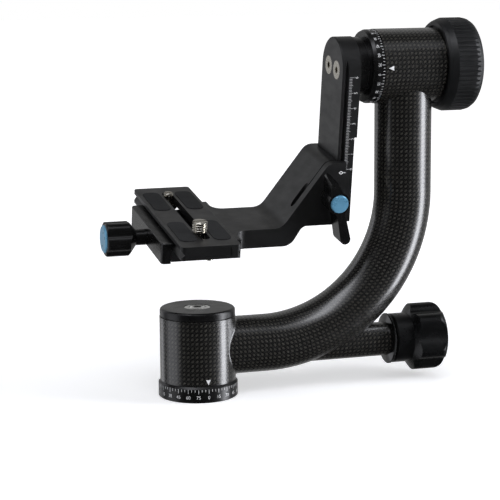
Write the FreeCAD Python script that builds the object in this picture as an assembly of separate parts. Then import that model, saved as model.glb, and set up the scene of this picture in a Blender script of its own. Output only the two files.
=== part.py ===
"""Gimbal tripod head for a long lens: carbon side arm, tilting riser, sliding cradle, quick-release clamp.

Millimetres, +Z up.  The origin is the mouth of the tripod thread, in the middle of the base's
bottom face.  The arm leaves the pan axis along +X and the lens lies along Y.  Everything that
hangs on the tilt axis is drawn hanging straight and is then turned about it by TILT_REST.
"""
import FreeCAD, Part
import math
import os

V = FreeCAD.Vector

# ---------------------------------------------------------------- general fits
NEAR = 0.01               # two places closer than this count as one when edges are picked
FIT = 0.05                # radial clearance of a shaft, screw or pin that turns or slides in its hole
GAP = 0.3                 # gap between faces that move past each other
SLIDE_GAP = 0.25          # gap of a dovetail slide

# ---------------------------------------------------------------- pan base
DIAL_R = 25.4             # graduated pan dial, outside
DIAL_H = 10.1
DIAL_LIP = 1.2            # bevel round the dial's top edge
DIAL_FOOT_EDGE = 0.5
FLANGE_R = 20.0           # spindle flange that sits in the dial from below
FLANGE_H = 6.0
DIAL_BORE_R = 14.5
THREAD_R = 4.7625         # 3/8 inch tripod thread
THREAD_DEPTH = 13.0
DIAL_SCREW_CIRCLE_R = 16.8
DIAL_SCREW_R = 1.5
DIAL_SCREW_HEAD_R = 2.8
DIAL_SCREW_HEAD_H = 1.5
DIAL_SCREW_LENGTH = 8.0
DIAL_SCREWS = 3

# ---------------------------------------------------------------- ball bearings, same size on both axes
BEARING_BORE_R = 10.0
BEARING_OUT_R = 16.0
BEARING_W = 7.0
RACE_T = 1.9              # thickness of each race
CAGE_W = 5.0              # ball row and cage, drawn as one ring
LOWER_BEARING_Z = 11.6    # underside of the lower pan bearing
DRUM_R = 12.4             # brake drum between the pan bearings
UPPER_BEARING_DROP = 10.5 # underside of the upper pan bearing below the sleeve's top
SPINDLE_NECK_R = 12.0
NUT_R = 11.4
NUT_H = 2.8
NUT_NOTCH_W = 3.0
NUT_NOTCH_D = 1.6
NUT_THREAD_R = 8.0

# ---------------------------------------------------------------- carbon arm
SLEEVE_R = 24.2           # upright carbon sleeve round the pan bearings
CARBON_WALL = 2.4
SLEEVE_ABOVE = 2.6        # sleeve's top above the level tube
ARM_CLEAR = 1.5           # sleeve's lower end below the level tube
TUBE_R = 18.5
BEND_R = 95.0             # centreline radius of the bend
COLUMN_X = 140.0          # axis of the upright stretch
JOINT_FILLET = 1.3        # resin fillet where the tube meets the sleeve
HOUSING_BORE_R = 14.3
CAP_R = 24.0
CAP_H = 5.5
CAP_GROOVE_R = 22.9       # shadow groove under the top cap
CAP_GROOVE_H = 0.9
CAP_EDGE = 1.8            # round edge of the lid
CAP_RECESS_R = 8.6
CAP_RECESS_D = 0.9
CAP_DISC_FIT = 0.1        # radial clearance of the disc in its recess
CAP_DISC_EDGE_W = 0.4
CAP_DISC_EDGE_D = 0.2
CAP_SPIGOT_H = 1.5
CAP_SPIGOT_R0 = 14.0
CAP_DISC_T = 0.7

# ---------------------------------------------------------------- pan lock
LOCK_DROP = 3.5           # axis of the stub, rod and knob below the level tube's axis
STUB_R = 11.1
STUB_WALL = 2.0
STUB_LENGTH = 27.0        # stub's end past the outside of the bend
ROD_R = 3.0
ROD_PASSAGE_R = 4.6
ROD_INSET = 5.6           # rod's end inside the stub's end
SHOE_HALF = 6.0           # half width and half height of the square brake shoe
SHOE_REACH = 7.6          # shoe's back beyond the drum's surface
BRAKE_GAP = 0.8           # shoe to drum, lock released
BUSH_INSET = 10.4
BUSH_LENGTH = 3.3
COLLAR_R = 16.6
COLLAR_L = 2.2
COLLAR_CONE_L = 1.0       # cone from the stub up to the collar's rim
COLLAR_EDGE = 0.5
LOCK_SCREW_R = 4.0
LOCK_PLAY = 0.1           # rod to lock screw, end to end
KNOB_STAND_OFF = 1.2      # knob beyond the collar, lock released
KNOB_NECK_R = 16.2
KNOB_NECK_EDGE = 0.8
KNOB_NECK_L = 11.5
KNOB_FLARE_L = 3.2
KNOB_LOBE_R = 22.0
KNOB_LOBE_L = 19.7
KNOB_END_ROUND = 5.6      # round edge of the lobed end
KNOB_LOBES = 6
KNOB_SCALLOP_R = 5.2
KNOB_VALLEY_R = 17.9
KNOB_PHASE = -49.0        # turn of the first lobe from straight up towards +Y, degrees
KNOB_SCREW_L = 29.3       # part of the lock screw that is bonded in the knob
KNOB_CAP_R = 12.0
KNOB_CAP_T = 1.2

# ---------------------------------------------------------------- tilt axis
TILT_Z = 206.4
TILT_REST = 9.5           # degrees that the hanging group is turned about +X
BARREL_R = 23.9
BARREL_LEFT = 21.1        # barrel's ends from the axis of the upright tube
BARREL_RIGHT = 20.2
TILT_BEARING_INSET = 1.2  # first bearing behind the barrel's left end
TILT_BEARING_PITCH = 28.0 # left face to left face of the two bearings
TILT_NUT_H = 2.6
TILT_DIAL_R = 23.6
TILT_DIAL_W = 7.2
TILT_DIAL_BEVEL = 2.0
TILT_DIAL_BEVEL_D = 1.0
TILT_DIAL_BORE_R = 13.0
HUB_R = 19.0
HUB_W = 7.75
HUB_GROOVE = 0.8          # depth of the turned neck between the hub disc and the dial
HUB_GROOVE_W = 1.7
HUB_GROOVE_SLOPE = 0.5
TILT_THREAD_R = 6.0
TILT_THREAD_L = 19.8      # threaded end beyond the barrel
FRICTION_RING_T = 2.0
FRICTION_RING_R0 = 12.6
FRICTION_RING_R1 = 20.2
PRESSURE_WASHER_T = 1.8
PRESSURE_GAP = 0.6        # washer to friction ring, lock released
PRESSURE_WASHER_R = 20.4

# ---------------------------------------------------------------- tilt lock knob
GRIP_R = 30.1
GRIP_GAP = 0.8            # rim of the knob beside the barrel
GRIP_RIM_R = 27.4
GRIP_SHOULDER_L = 5.5
GRIP_RIBBED_L = 12.5
GRIP_END_L = 5.8
GRIP_END_CURVE = ((0.5, 0.2), (0.85, 0.6))  # rounded end: share of its length, share of its drop
GRIP_RIM_W = 2.6          # wall of the hollow rim, at its root
GRIP_RIM_EDGE_W = 2.2     # and at its mouth
GRIP_FLARE_L = 1.6
GRIP_FLARE_H = 1.2
GRIP_END_R = 26.8
GRIP_RIBS = 60
GRIP_RIB_GROOVE_R = 0.9
GRIP_RIB_DEPTH = 0.6
CORE_R = 22.0
CORE_INSET = 2.0
CORE_BORE_PAST = 1.0      # bottom of the core's bore beyond the shaft's end
TILT_CAP_T = 2.0
TILT_CAP_R = 21.5
TILT_CAP_EDGE_W = 0.8     # soft edge of the cap, along and across
TILT_CAP_EDGE_D = 1.4
TILT_CAP_SHOULDER = 0.6   # cap's foot inside the end of the grip

# ---------------------------------------------------------------- riser bar
RISER_T = 12.2
RISER_HALF_W = 19.5
RISER_FOOT = 0.2          # lower end of the bar above the cradle block's underside
RISER_EDGE = 0.6          # chamfer round the outer face
GROOVE_X0 = 1.6           # dovetail groove in each edge, measured from the outer face
GROOVE_X1 = 4.4
GROOVE_DEPTH = 2.0
GROOVE_TOP = 9.0          # groove's end above the tilt axis, where it runs out of the round top
RISER_STEP_DROP = 41.6    # the inner face steps back this far below the tilt axis
RISER_STEP_D = 1.6
RISER_SCREW_PITCH = 14.6
RISER_SCREW_R = 3.0
RISER_SCREW_HEAD_R = 5.9
RISER_SCREW_CONE_H = 2.9
RISER_SCREW_LENGTH = 19.0
HEX_SOCKET_AF = 4.0

# ---------------------------------------------------------------- cradle
CRADLE_HALF_W = 23.7
PLATFORM_DROP = 98.4      # platform's top below the tilt axis
PLATFORM_T = 12.2
SLOPE_HEAD_BACK = 6.85    # top edge of the slope from the riser's outer face
SLOPE_RUN = 30.1
CRADLE_H = 41.8           # top of the cradle above the platform
FOOT_FILLET = 10.0
HEAD_FILLET = 8.0
HEEL_RUN = 6.3            # corner of the underside past the foot of the slope
STEP_RUN = 7.8
BLOCK_RISE = 0.7          # underside of the block above the platform's top
HEEL_FILLET = 9.0
STEP_FILLET = 5.0
JAW_REACH = 4.5           # how far the two gripping lips pass the riser's outer face
LIP_RIDGE = 1.7           # height of the ridge that runs in the riser's groove
SLIT_INSET = 6.6          # middle of the slit that frees the near lip, from the cradle's side
SLIT_W = 1.0
SLIT_RUN = 17.65          # slit's end from the riser's outer face
RELIEF_L = 10.8
RELIEF_W = 5.2

# ---------------------------------------------------------------- quick-release clamp
CLAMP_HALF_L = 40.0
CLAMP_MARGIN = 0.4        # clamp base past the plate, on the moving jaw's side
FIXED_JAW_W = 6.2
CLAMP_FILLET = 8.0
SEAT_DROP = 4.6           # seat below the top of the jaws
PLATE_W = 38.1
PLATE_X0 = -21.8
PLATE_HALF_L = 61.7
PLATE_T = 8.6
PLATE_FLANGE_T = 1.3      # lower flange of the dovetail
PLATE_GROOVE_H = 4.6
PLATE_GROOVE_D = 2.3
PLATE_CORNER = 2.6
PLATE_EDGE = 0.5
JAW_PLAY = 0.5            # jaw's nose short of the groove's bottom
JAW_EDGE = 0.5
MOVING_JAW_T = 6.1
MOVING_JAW_H = 13.6
MOVING_JAW_ROUND = 2.4
JAW_RIB_PITCH = 2.4
JAW_RIB_GROOVE_W = 0.7
JAW_RIB_GROOVE_D = 0.35
QR_AXIS_DROP = 8.5        # clamp screw below the top of the jaws
QR_SCREW_R = 3.0
QR_SCREW_REACH = 16.9     # how far the screw and the pins reach into the clamp base
QR_PIN_R = 2.5
QR_PIN_Y = 28.0
QR_PIN_REACH = 14.9
QR_PIN_SEAT = 1.0         # jaw left solid behind each pin
SPRING_Y = 14.0
SPRING_POCKET_R = 2.7
SPRING_OUT_R = 2.4
SPRING_IN_R = 1.6
SPRING_L = 12.9
QR_COLLAR_R = 5.1
QR_COLLAR_L = 6.8
QR_CONE_L = 5.2
QR_KNOB_R = 11.5
QR_KNOB_L = 14.8
QR_KNOB_ROUND = 2.0
QR_KNOB_LOBES = 5
QR_SCALLOP_R = 2.8
QR_VALLEY_R = 9.5
QR_KNOB_PHASE = 46.0
QR_CAP_R = 8.9
QR_CAP_EDGE_W = 0.7       # bevel round the cap, along and across
QR_CAP_EDGE_D = 1.0
QR_CAP_PROUD = 1.2
QR_CAP_SUNK = 1.0
QR_SCREW_SEAT = 2.6       # end of the screw inside the knob's end

# ---------------------------------------------------------------- plate details
SLOT_W = 6.6
SLOT_NEAR_INSET = 16.7    # centres of the slot's round ends from the plate's near and far end
SLOT_FAR_INSET = 14.7
UNDERCUT_W = 12.6
UNDERCUT_D = 3.9
PAD_W = 11.2
PAD_X = 10.9              # pad centre from the plate's middle
PAD_INSET = 10.7          # pad from the plate's end
PAD_L = 38.5
PAD_CORNER = 4.8
PAD_SUNK = 1.2
PAD_PROUD = 0.3
END_RECESS_W = 26.0
END_RECESS_H = 5.4
END_RECESS_D = 0.4
STOP_INSET = 5.2          # safety screws from the plate's ends
STOP_R = 2.2
STOP_DROP = 1.8
STOP_DEPTH = 4.0
LARGE_STUD_R = 4.7625     # 3/8 inch
SMALL_STUD_R = 3.175      # 1/4 inch
LARGE_STUD_INSET = 28.1   # from the plate's near end
SMALL_STUD_INSET = 18.7   # from its far end
LARGE_STUD_H = 7.1
SMALL_STUD_H = 2.3
STUD_NECK_R = 3.0
STUD_HEAD_R = 5.7
STUD_HEAD_T = 2.2
STUD_WASHER_T = 0.8
STUD_WASHER_R = 5.9
STUD_DRIVER_W = 1.4
LARGE_STUD_DRIVER_D = 1.6
SMALL_STUD_DRIVER_D = 0.45

# ---------------------------------------------------------------- clamp lever
LEVER_BACK = 4.9         # lever's axis from the riser's outer face
LEVER_RISE = 19.7         # and above the platform
LEVER_STAND_OFF = 2.3
LEVER_W = 14.0
LEVER_HUB_R = 7.2
LEVER_TAIL_L = 15.0
LEVER_TAIL_LEAN = 16.0    # degrees that the tail leans to -X
LEVER_TAIL_R = 1.9
LEVER_TAIL_SLOPE = 3.0    # the tail's top falls this much from its back to its front
LEVER_TAIL_ROOT = 5.7     # half width of the tail where it leaves the hub
LEVER_ARM_L = 24.6
LEVER_ARM_LEAN = 13.0     # degrees that the arm leans to +X
LEVER_ARM_R = 3.4
LEVER_NECK_R = 2.4
LEVER_ROOT_FILLET = 2.5
LEVER_BOLT_R = 2.95
LEVER_BOLT_L = 34.0
LEVER_BOLT_HEAD_R = 4.6
LEVER_BOLT_HEAD_T = 3.0
LEVER_CAP_R = 5.7
LEVER_CAP_T = 1.6
LEVER_CAP_EDGE = 0.5
LEVER_WASHER_R = 6.6

# ---------------------------------------------------------------- places worked out from the sizes above
sleeve_bottom_z = DIAL_H + GAP
arm_z = sleeve_bottom_z + ARM_CLEAR + TUBE_R
sleeve_top_z = arm_z + TUBE_R + SLEEVE_ABOVE
cap_top_z = sleeve_top_z + CAP_H
sleeve_in_r = SLEEVE_R - CARBON_WALL
upper_bearing_z = sleeve_top_z - UPPER_BEARING_DROP
drum_length = upper_bearing_z - LOWER_BEARING_Z - BEARING_W
spindle_top_z = upper_bearing_z + BEARING_W + NUT_H
bend_x = COLUMN_X - BEND_R
bend_z = arm_z + BEND_R

lock_z = arm_z - LOCK_DROP
stub_root_x = bend_x + math.sqrt((BEND_R + TUBE_R) ** 2 - (bend_z - lock_z) ** 2)
stub_end_x = stub_root_x + STUB_LENGTH
shoe_x1 = DRUM_R + SHOE_REACH
rod_end_x = stub_end_x - ROD_INSET
bush_x0 = stub_end_x - BUSH_INSET
bush_x1 = bush_x0 + BUSH_LENGTH
collar_x1 = stub_end_x + COLLAR_L
knob_x0 = collar_x1 + KNOB_STAND_OFF
knob_neck_x1 = knob_x0 + KNOB_NECK_L
knob_lobe_x0 = knob_neck_x1 + KNOB_FLARE_L
knob_end_x = knob_lobe_x0 + KNOB_LOBE_L

barrel_in_r = BARREL_R - CARBON_WALL
barrel_x0 = COLUMN_X - BARREL_LEFT
barrel_x1 = COLUMN_X + BARREL_RIGHT
left_bearing_x = barrel_x0 + TILT_BEARING_INSET
right_bearing_x = left_bearing_x + TILT_BEARING_PITCH
tilt_dial_x1 = barrel_x0 - GAP
tilt_dial_x0 = tilt_dial_x1 - TILT_DIAL_W
shaft_end_x = barrel_x1 + TILT_THREAD_L
grip_x0 = barrel_x1 + GRIP_GAP
grip_shoulder_x = grip_x0 + GRIP_SHOULDER_L
grip_flat_x1 = grip_shoulder_x + GRIP_RIBBED_L
grip_end_x = grip_flat_x1 + GRIP_END_L
core_x0 = grip_x0 + CORE_INSET
tilt_cap_end_x = grip_end_x + TILT_CAP_T

riser_x1 = tilt_dial_x0 - HUB_W
riser_x0 = riser_x1 - RISER_T
platform_top_z = TILT_Z - PLATFORM_DROP
platform_bottom_z = platform_top_z - PLATFORM_T
block_bottom_z = platform_top_z + BLOCK_RISE
cradle_top_z = platform_top_z + CRADLE_H
riser_bottom_z = block_bottom_z + RISER_FOOT
slope_head_x = riser_x0 - SLOPE_HEAD_BACK
slope_foot_x = slope_head_x - SLOPE_RUN
heel_x = slope_foot_x + HEEL_RUN
step_x = heel_x + STEP_RUN
slit_y = CRADLE_HALF_W - SLIT_INSET
slit_x0 = riser_x0 - SLIT_RUN

seat_z = platform_top_z - SEAT_DROP
plate_x1 = PLATE_X0 + PLATE_W
plate_mid_x = PLATE_X0 + PLATE_W / 2
slot_y0 = SLOT_NEAR_INSET - PLATE_HALF_L
slot_y1 = PLATE_HALF_L - SLOT_FAR_INSET
large_stud_y = LARGE_STUD_INSET - PLATE_HALF_L
small_stud_y = PLATE_HALF_L - SMALL_STUD_INSET
plate_z0 = seat_z + GAP
plate_z1 = plate_z0 + PLATE_T
clamp_x0 = PLATE_X0 - CLAMP_MARGIN
clamp_x1 = plate_x1 + FIXED_JAW_W
jaw_x1 = clamp_x0 - GAP
jaw_x0 = jaw_x1 - MOVING_JAW_T
hook_z = plate_z0 + PLATE_FLANGE_T + SLIDE_GAP
hook_reach = PLATE_GROOVE_D - JAW_PLAY
qr_z = platform_top_z - QR_AXIS_DROP
qr_collar_x = jaw_x0 - 2 * FIT
qr_cone_x0 = qr_collar_x - QR_COLLAR_L
qr_cone_x1 = qr_cone_x0 - QR_CONE_L
qr_end_x = qr_cone_x1 - QR_KNOB_L
qr_screw_x0 = qr_end_x + QR_SCREW_SEAT
qr_screw_x1 = clamp_x0 + QR_SCREW_REACH
qr_pin_x1 = clamp_x0 + QR_PIN_REACH
spring_x1 = clamp_x0 + SPRING_L

lever_x = riser_x0 - LEVER_BACK
lever_z = platform_top_z + LEVER_RISE
lever_back_y = -CRADLE_HALF_W - LEVER_STAND_OFF
lever_front_y = lever_back_y - LEVER_W
lever_bolt_tip_y = lever_front_y + LEVER_BOLT_L


# ---------------------------------------------------------------- helpers
def face_of(points):
    """Flat face inside a closed outline of straight edges."""
    return Part.Face(Part.makePolygon(points + [points[0]]))


def turned_z(profile):
    """Turn an outline of (radius, z) about the pan axis."""
    face = face_of([V(r, 0, z) for r, z in profile])
    return face.revolve(V(0, 0, 0), V(0, 0, 1), 360)


def turned_x(profile, z):
    """Turn an outline of (x, radius) about an axis along X at height z."""
    face = face_of([V(x, 0, z + r) for x, r in profile])
    return face.revolve(V(0, 0, z), V(1, 0, 0), 360)


def rod_x(r, x0, x1, z, y=0.0):
    """Round bar along X."""
    return Part.makeCylinder(r, x1 - x0, V(x0, y, z), V(1, 0, 0))


def rod_y(r, y0, y1, x, z):
    """Round bar along Y."""
    return Part.makeCylinder(r, y1 - y0, V(x, y0, z), V(0, 1, 0))


def rod_z(r, z0, z1, x=0.0, y=0.0):
    """Round bar along Z."""
    return Part.makeCylinder(r, z1 - z0, V(x, y, z0))


def block(x0, x1, y0, y1, z0, z1):
    """Rectangular block between two corners."""
    return Part.makeBox(x1 - x0, y1 - y0, z1 - z0, V(x0, y0, z0))


def ring_x(r0, r1, x0, x1, z):
    """Plain ring about an axis along X."""
    return rod_x(r1, x0, x1, z).cut(rod_x(r0, x0, x1, z))


def ring_z(r0, r1, z0, z1):
    """Plain ring about the pan axis."""
    return rod_z(r1, z0, z1).cut(rod_z(r0, z0, z1))


def slot_z(width, y0, y1, z0, z1, x):
    """Slot with round ends, cut downwards; y0 and y1 are the centres of its ends."""
    sides = block(x - width / 2, x + width / 2, y0, y1, z0, z1)
    ends = [rod_z(width / 2, z0, z1, x, y) for y in (y0, y1)]
    return sides.fuse(ends).removeSplitter()


def extrude_y(points, y0, y1):
    """Extrude an outline of (x, z) points from y0 to y1."""
    return face_of([V(x, y0, z) for x, z in points]).extrude(V(0, y1 - y0, 0))


def hang(shape):
    """Turn a shape that hangs on the tilt axis from straight down to its rest angle."""
    turned = shape.copy()
    turned.rotate(V(0, 0, TILT_Z), V(1, 0, 0), TILT_REST)
    return turned


def hex_socket_x(x0, x1, y, z):
    """Hexagonal driver socket along X."""
    corner = HEX_SOCKET_AF / 2 / math.cos(math.pi / 6)
    points = [V(x0, y + corner * math.cos(math.radians(60 * k)), z + corner * math.sin(math.radians(60 * k)))
              for k in range(6)]
    return face_of(points).extrude(V(x1 - x0, 0, 0))


def rim(solid, radius, centre):
    """Full circles of a given radius round a given centre."""
    return [e for e in solid.Edges if isinstance(e.Curve, Part.Circle)
            and abs(e.Curve.Radius - radius) < NEAR and (e.Curve.Center - centre).Length < NEAR]


def lobed_bar_x(count, outer_r, valley_r, scallop_r, phase, x0, x1, z):
    """Bar along X; its section is a ring of round lobes and hollows, each arc tangent to the next."""
    hollow_reach = valley_r + scallop_r
    along = hollow_reach * math.cos(math.pi / count)
    lobe_r = ((outer_r ** 2 + hollow_reach ** 2 - 2 * outer_r * along - scallop_r ** 2)
              / (2 * (outer_r + scallop_r - along)))
    lobe_reach = outer_r - lobe_r
    step = 2 * math.pi / count
    arcs = []
    for k in range(count):
        lobe_angle = math.radians(phase) + k * step
        before = spoke(x0, z, hollow_reach, lobe_angle - step / 2)
        lobe = spoke(x0, z, lobe_reach, lobe_angle)
        after = spoke(x0, z, hollow_reach, lobe_angle + step / 2)
        start = lobe + (before - lobe) * (lobe_r / (lobe_r + scallop_r))
        end = lobe + (after - lobe) * (lobe_r / (lobe_r + scallop_r))
        following = spoke(x0, z, lobe_reach, lobe_angle + step)
        next_start = following + (after - following) * (lobe_r / (lobe_r + scallop_r))
        arcs.append(Part.Arc(start, spoke(x0, z, outer_r, lobe_angle), end).toShape())
        arcs.append(Part.Arc(end, spoke(x0, z, valley_r, lobe_angle + step / 2), next_start).toShape())
    return Part.Face(Part.Wire(arcs)).extrude(V(x1 - x0, 0, 0))


def spoke(x, z, reach, angle):
    """Point at a distance from an axis along X; the angle runs from straight up towards +Y."""
    return V(x, reach * math.sin(angle), z + reach * math.cos(angle))


def scalloped_x(blank, count, scallop_r, valley_r, phase, x0, x1, z):
    """Cut round flutes along X into a turned knob."""
    flutes = []
    for k in range(count):
        angle = math.radians(phase + 360.0 * k / count)
        reach = valley_r + scallop_r
        flutes.append(rod_x(scallop_r, x0, x1, z + reach * math.cos(angle), reach * math.sin(angle)))
    return blank.cut(flutes)


# ---------------------------------------------------------------- pan base
def pan_dial():
    """Graduated ring with a ledge that the spindle's flange pulls against."""
    ring = turned_z([(DIAL_BORE_R, FLANGE_H), (FLANGE_R, FLANGE_H), (FLANGE_R, 0),
                     (DIAL_R - DIAL_FOOT_EDGE, 0), (DIAL_R, DIAL_FOOT_EDGE), (DIAL_R, DIAL_H - DIAL_LIP),
                     (DIAL_R - DIAL_LIP, DIAL_H), (DIAL_BORE_R, DIAL_H)])
    return ring.cut([dial_screw_body(k) for k in range(DIAL_SCREWS)])


def pan_spindle():
    """Turned spindle: flange, neck, bearing seat and threaded top, with the tripod thread below."""
    shoulder = LOWER_BEARING_Z
    top = upper_bearing_z + BEARING_W
    body = turned_z([(0, 0), (FLANGE_R, 0), (FLANGE_R, FLANGE_H), (SPINDLE_NECK_R, FLANGE_H),
                     (SPINDLE_NECK_R, shoulder), (BEARING_BORE_R, shoulder), (BEARING_BORE_R, top),
                     (NUT_THREAD_R, top), (NUT_THREAD_R, spindle_top_z), (0, spindle_top_z)])
    body = body.cut(rod_z(THREAD_R, 0, THREAD_DEPTH))
    return body.cut([dial_screw_body(k) for k in range(DIAL_SCREWS)])


def dial_screw_body(k):
    """One countersunk screw from below, through the flange into the dial."""
    angle = math.radians(90 + 360.0 * k / DIAL_SCREWS)
    x = DIAL_SCREW_CIRCLE_R * math.cos(angle)
    y = DIAL_SCREW_CIRCLE_R * math.sin(angle)
    head = Part.makeCone(DIAL_SCREW_HEAD_R, DIAL_SCREW_R, DIAL_SCREW_HEAD_H, V(x, y, 0.0))
    return head.fuse(rod_z(DIAL_SCREW_R, 0, DIAL_SCREW_LENGTH, x, y)).removeSplitter()


def dial_screws():
    return Part.Compound([dial_screw_body(k) for k in range(DIAL_SCREWS)])


def brake_drum():
    """Steel sleeve between the pan bearings, gripped by the brake shoe."""
    z0 = LOWER_BEARING_Z + BEARING_W
    return ring_z(BEARING_BORE_R, DRUM_R, z0, z0 + drum_length)


def pan_nut():
    """Round nut that clamps the inner races and the drum on the spindle."""
    z0 = upper_bearing_z + BEARING_W
    nut = ring_z(NUT_THREAD_R, NUT_R, z0, z0 + NUT_H)
    notch = block(-NUT_R, NUT_R, -NUT_NOTCH_W / 2, NUT_NOTCH_W / 2, z0, z0 + NUT_H)
    return nut.cut(notch.cut(rod_z(NUT_R - NUT_NOTCH_D, z0, z0 + NUT_H)))


def z_rings(r0, r1, width):
    """The same ring in both pan bearings."""
    inset = (BEARING_W - width) / 2
    return Part.Compound([ring_z(r0, r1, z + inset, z + inset + width)
                          for z in (LOWER_BEARING_Z, upper_bearing_z)])


def x_rings(r0, r1, width):
    """The same ring in both tilt bearings."""
    inset = (BEARING_W - width) / 2
    return Part.Compound([ring_x(r0, r1, x + inset, x + inset + width, TILT_Z)
                          for x in (left_bearing_x, right_bearing_x)])


# ---------------------------------------------------------------- carbon arm
def rod_passage():
    """Clear way for the brake rod from the pan axis to the stub."""
    return rod_x(ROD_PASSAGE_R, 0, stub_end_x, lock_z)


def sleeve_blank():
    return rod_z(SLEEVE_R, sleeve_bottom_z, sleeve_top_z)


def base_sleeve():
    tube = sleeve_blank().cut(rod_z(sleeve_in_r, sleeve_bottom_z, sleeve_top_z))
    return tube.cut(rod_passage())


def bent_bar(r, start_x):
    """Round bar along the arm: level, quarter bend, upright to the tilt axis."""
    level = rod_x(r, start_x, bend_x, arm_z)
    disc = Part.Face(Part.Wire(Part.makeCircle(r, V(bend_x, 0, arm_z), V(1, 0, 0))))
    bend = disc.revolve(V(bend_x, 0, bend_z), V(0, -1, 0), 90)
    upright = rod_z(r, bend_z, TILT_Z, COLUMN_X, 0)
    return level.fuse([bend, upright]).removeSplitter()


def elbow_tube():
    """Bent carbon tube, saddle-cut to the sleeve and the tilt barrel, with a resin fillet at the sleeve."""
    bar = sleeve_blank().fuse(bent_bar(TUBE_R, 0)).removeSplitter()
    seam = [e for e in bar.Edges if is_sleeve_seam(e)]
    bar = bar.makeFillet(JOINT_FILLET, seam)
    bore = bent_bar(TUBE_R - CARBON_WALL, 0)
    barrel = rod_x(BARREL_R, barrel_x0 - TUBE_R, barrel_x1 + TUBE_R, TILT_Z)
    tube = bar.cut([rod_z(SLEEVE_R, 0, cap_top_z), barrel, bore, rod_passage()])
    return max(tube.Solids, key=lambda s: s.Volume)


def is_sleeve_seam(edge):
    """True for the edge where the level tube enters the sleeve."""
    box = edge.BoundBox
    on_sleeve = all(abs(math.hypot(v.X, v.Y) - SLEEVE_R) < NEAR for v in edge.Vertexes)
    curved = box.ZLength > TUBE_R and box.YLength > TUBE_R / 2
    return on_sleeve and curved and box.XMax < SLEEVE_R + 1


def lock_stub():
    """Short carbon tube for the lock, saddle-cut to the bend."""
    start_x = bend_x
    tube = ring_x(STUB_R - STUB_WALL, STUB_R, start_x, stub_end_x, lock_z)
    tube = tube.cut(bent_bar(TUBE_R, start_x))
    return max(tube.Solids, key=lambda s: s.CenterOfMass.x)


def tilt_barrel():
    return ring_x(barrel_in_r, BARREL_R, barrel_x0, barrel_x1, TILT_Z)


def pan_housing():
    """Metal liner bonded in the sleeve; it holds the outer races and guides the brake shoe."""
    low = LOWER_BEARING_Z
    blank = turned_z([(BEARING_OUT_R, low), (sleeve_in_r, low), (sleeve_in_r, sleeve_top_z),
                      (BEARING_OUT_R, sleeve_top_z), (BEARING_OUT_R, upper_bearing_z),
                      (HOUSING_BORE_R, upper_bearing_z), (HOUSING_BORE_R, low + BEARING_W),
                      (BEARING_OUT_R, low + BEARING_W)])
    half = SHOE_HALF + FIT
    window = block(0, shoe_x1 + GAP, -half, half, lock_z - half, lock_z + half)
    return blank.cut([window, rod_passage()])


def top_cap():
    """Lid with a round edge, a shadow groove below it and a round recess on top."""
    groove_top = sleeve_top_z + CAP_GROOVE_H
    spigot_z = sleeve_top_z - CAP_SPIGOT_H
    recess_z = cap_top_z - CAP_RECESS_D
    lid = turned_z([(0, groove_top), (CAP_SPIGOT_R0, groove_top), (CAP_SPIGOT_R0, spigot_z),
                    (BEARING_OUT_R, spigot_z), (BEARING_OUT_R, sleeve_top_z), (CAP_GROOVE_R, sleeve_top_z),
                    (CAP_GROOVE_R, groove_top), (CAP_R, groove_top), (CAP_R, cap_top_z),
                    (CAP_RECESS_R, cap_top_z), (CAP_RECESS_R, recess_z), (0, recess_z)])
    return lid.makeFillet(CAP_EDGE, rim(lid, CAP_R, V(0, 0, cap_top_z)))


def cap_disc():
    """Plain turned disc in the lid's recess."""
    z0 = cap_top_z - CAP_RECESS_D
    r = CAP_RECESS_R - CAP_DISC_FIT
    z1 = z0 + CAP_DISC_T
    return turned_z([(0, z0), (r, z0), (r, z1 - CAP_DISC_EDGE_D), (r - CAP_DISC_EDGE_W, z1), (0, z1)])


# ---------------------------------------------------------------- pan lock
def brake_shoe():
    """Square shoe with a hollow face that matches the drum."""
    shoe = block(0, shoe_x1, -SHOE_HALF, SHOE_HALF, lock_z - SHOE_HALF, lock_z + SHOE_HALF)
    return shoe.cut(rod_z(DRUM_R + BRAKE_GAP, 0, cap_top_z))


def brake_rod():
    return rod_x(ROD_R, shoe_x1, rod_end_x, lock_z)


def rod_bush():
    return ring_x(ROD_R + FIT, STUB_R - STUB_WALL, bush_x0, bush_x1, lock_z)


def lock_collar():
    """Flared end fitting of the stub, bored for the lock screw."""
    bore = LOCK_SCREW_R + FIT
    spigot_x = bush_x1 + GAP
    return turned_x([(spigot_x, bore), (spigot_x, STUB_R - STUB_WALL), (stub_end_x, STUB_R - STUB_WALL),
                     (stub_end_x, STUB_R), (stub_end_x + COLLAR_CONE_L, COLLAR_R),
                     (collar_x1 - COLLAR_EDGE, COLLAR_R), (collar_x1, COLLAR_R - COLLAR_EDGE),
                     (collar_x1, bore)], lock_z)


def lock_screw():
    return rod_x(LOCK_SCREW_R, rod_end_x + LOCK_PLAY, knob_x0 + KNOB_SCREW_L, lock_z)


def lock_knob():
    """Knob with round lobes on a round neck, and a soft edge round its end."""
    blank = turned_x([(knob_x0, 0), (knob_x0, KNOB_NECK_R - KNOB_NECK_EDGE),
                      (knob_x0 + KNOB_NECK_EDGE, KNOB_NECK_R),
                      (knob_neck_x1, KNOB_NECK_R), (knob_lobe_x0, KNOB_LOBE_R), (knob_end_x, KNOB_LOBE_R),
                      (knob_end_x, 0)], lock_z)
    blank = blank.makeFillet(KNOB_END_ROUND, rim(blank, KNOB_LOBE_R, V(knob_end_x, 0, lock_z)))
    knob = blank.common(lobed_bar_x(KNOB_LOBES, KNOB_LOBE_R, KNOB_VALLEY_R, KNOB_SCALLOP_R, KNOB_PHASE,
                                    knob_x0, knob_end_x, lock_z))
    return knob.cut([lock_screw(), lock_knob_cap()])


def lock_knob_cap():
    return rod_x(KNOB_CAP_R, knob_end_x - KNOB_CAP_T, knob_end_x, lock_z)


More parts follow.
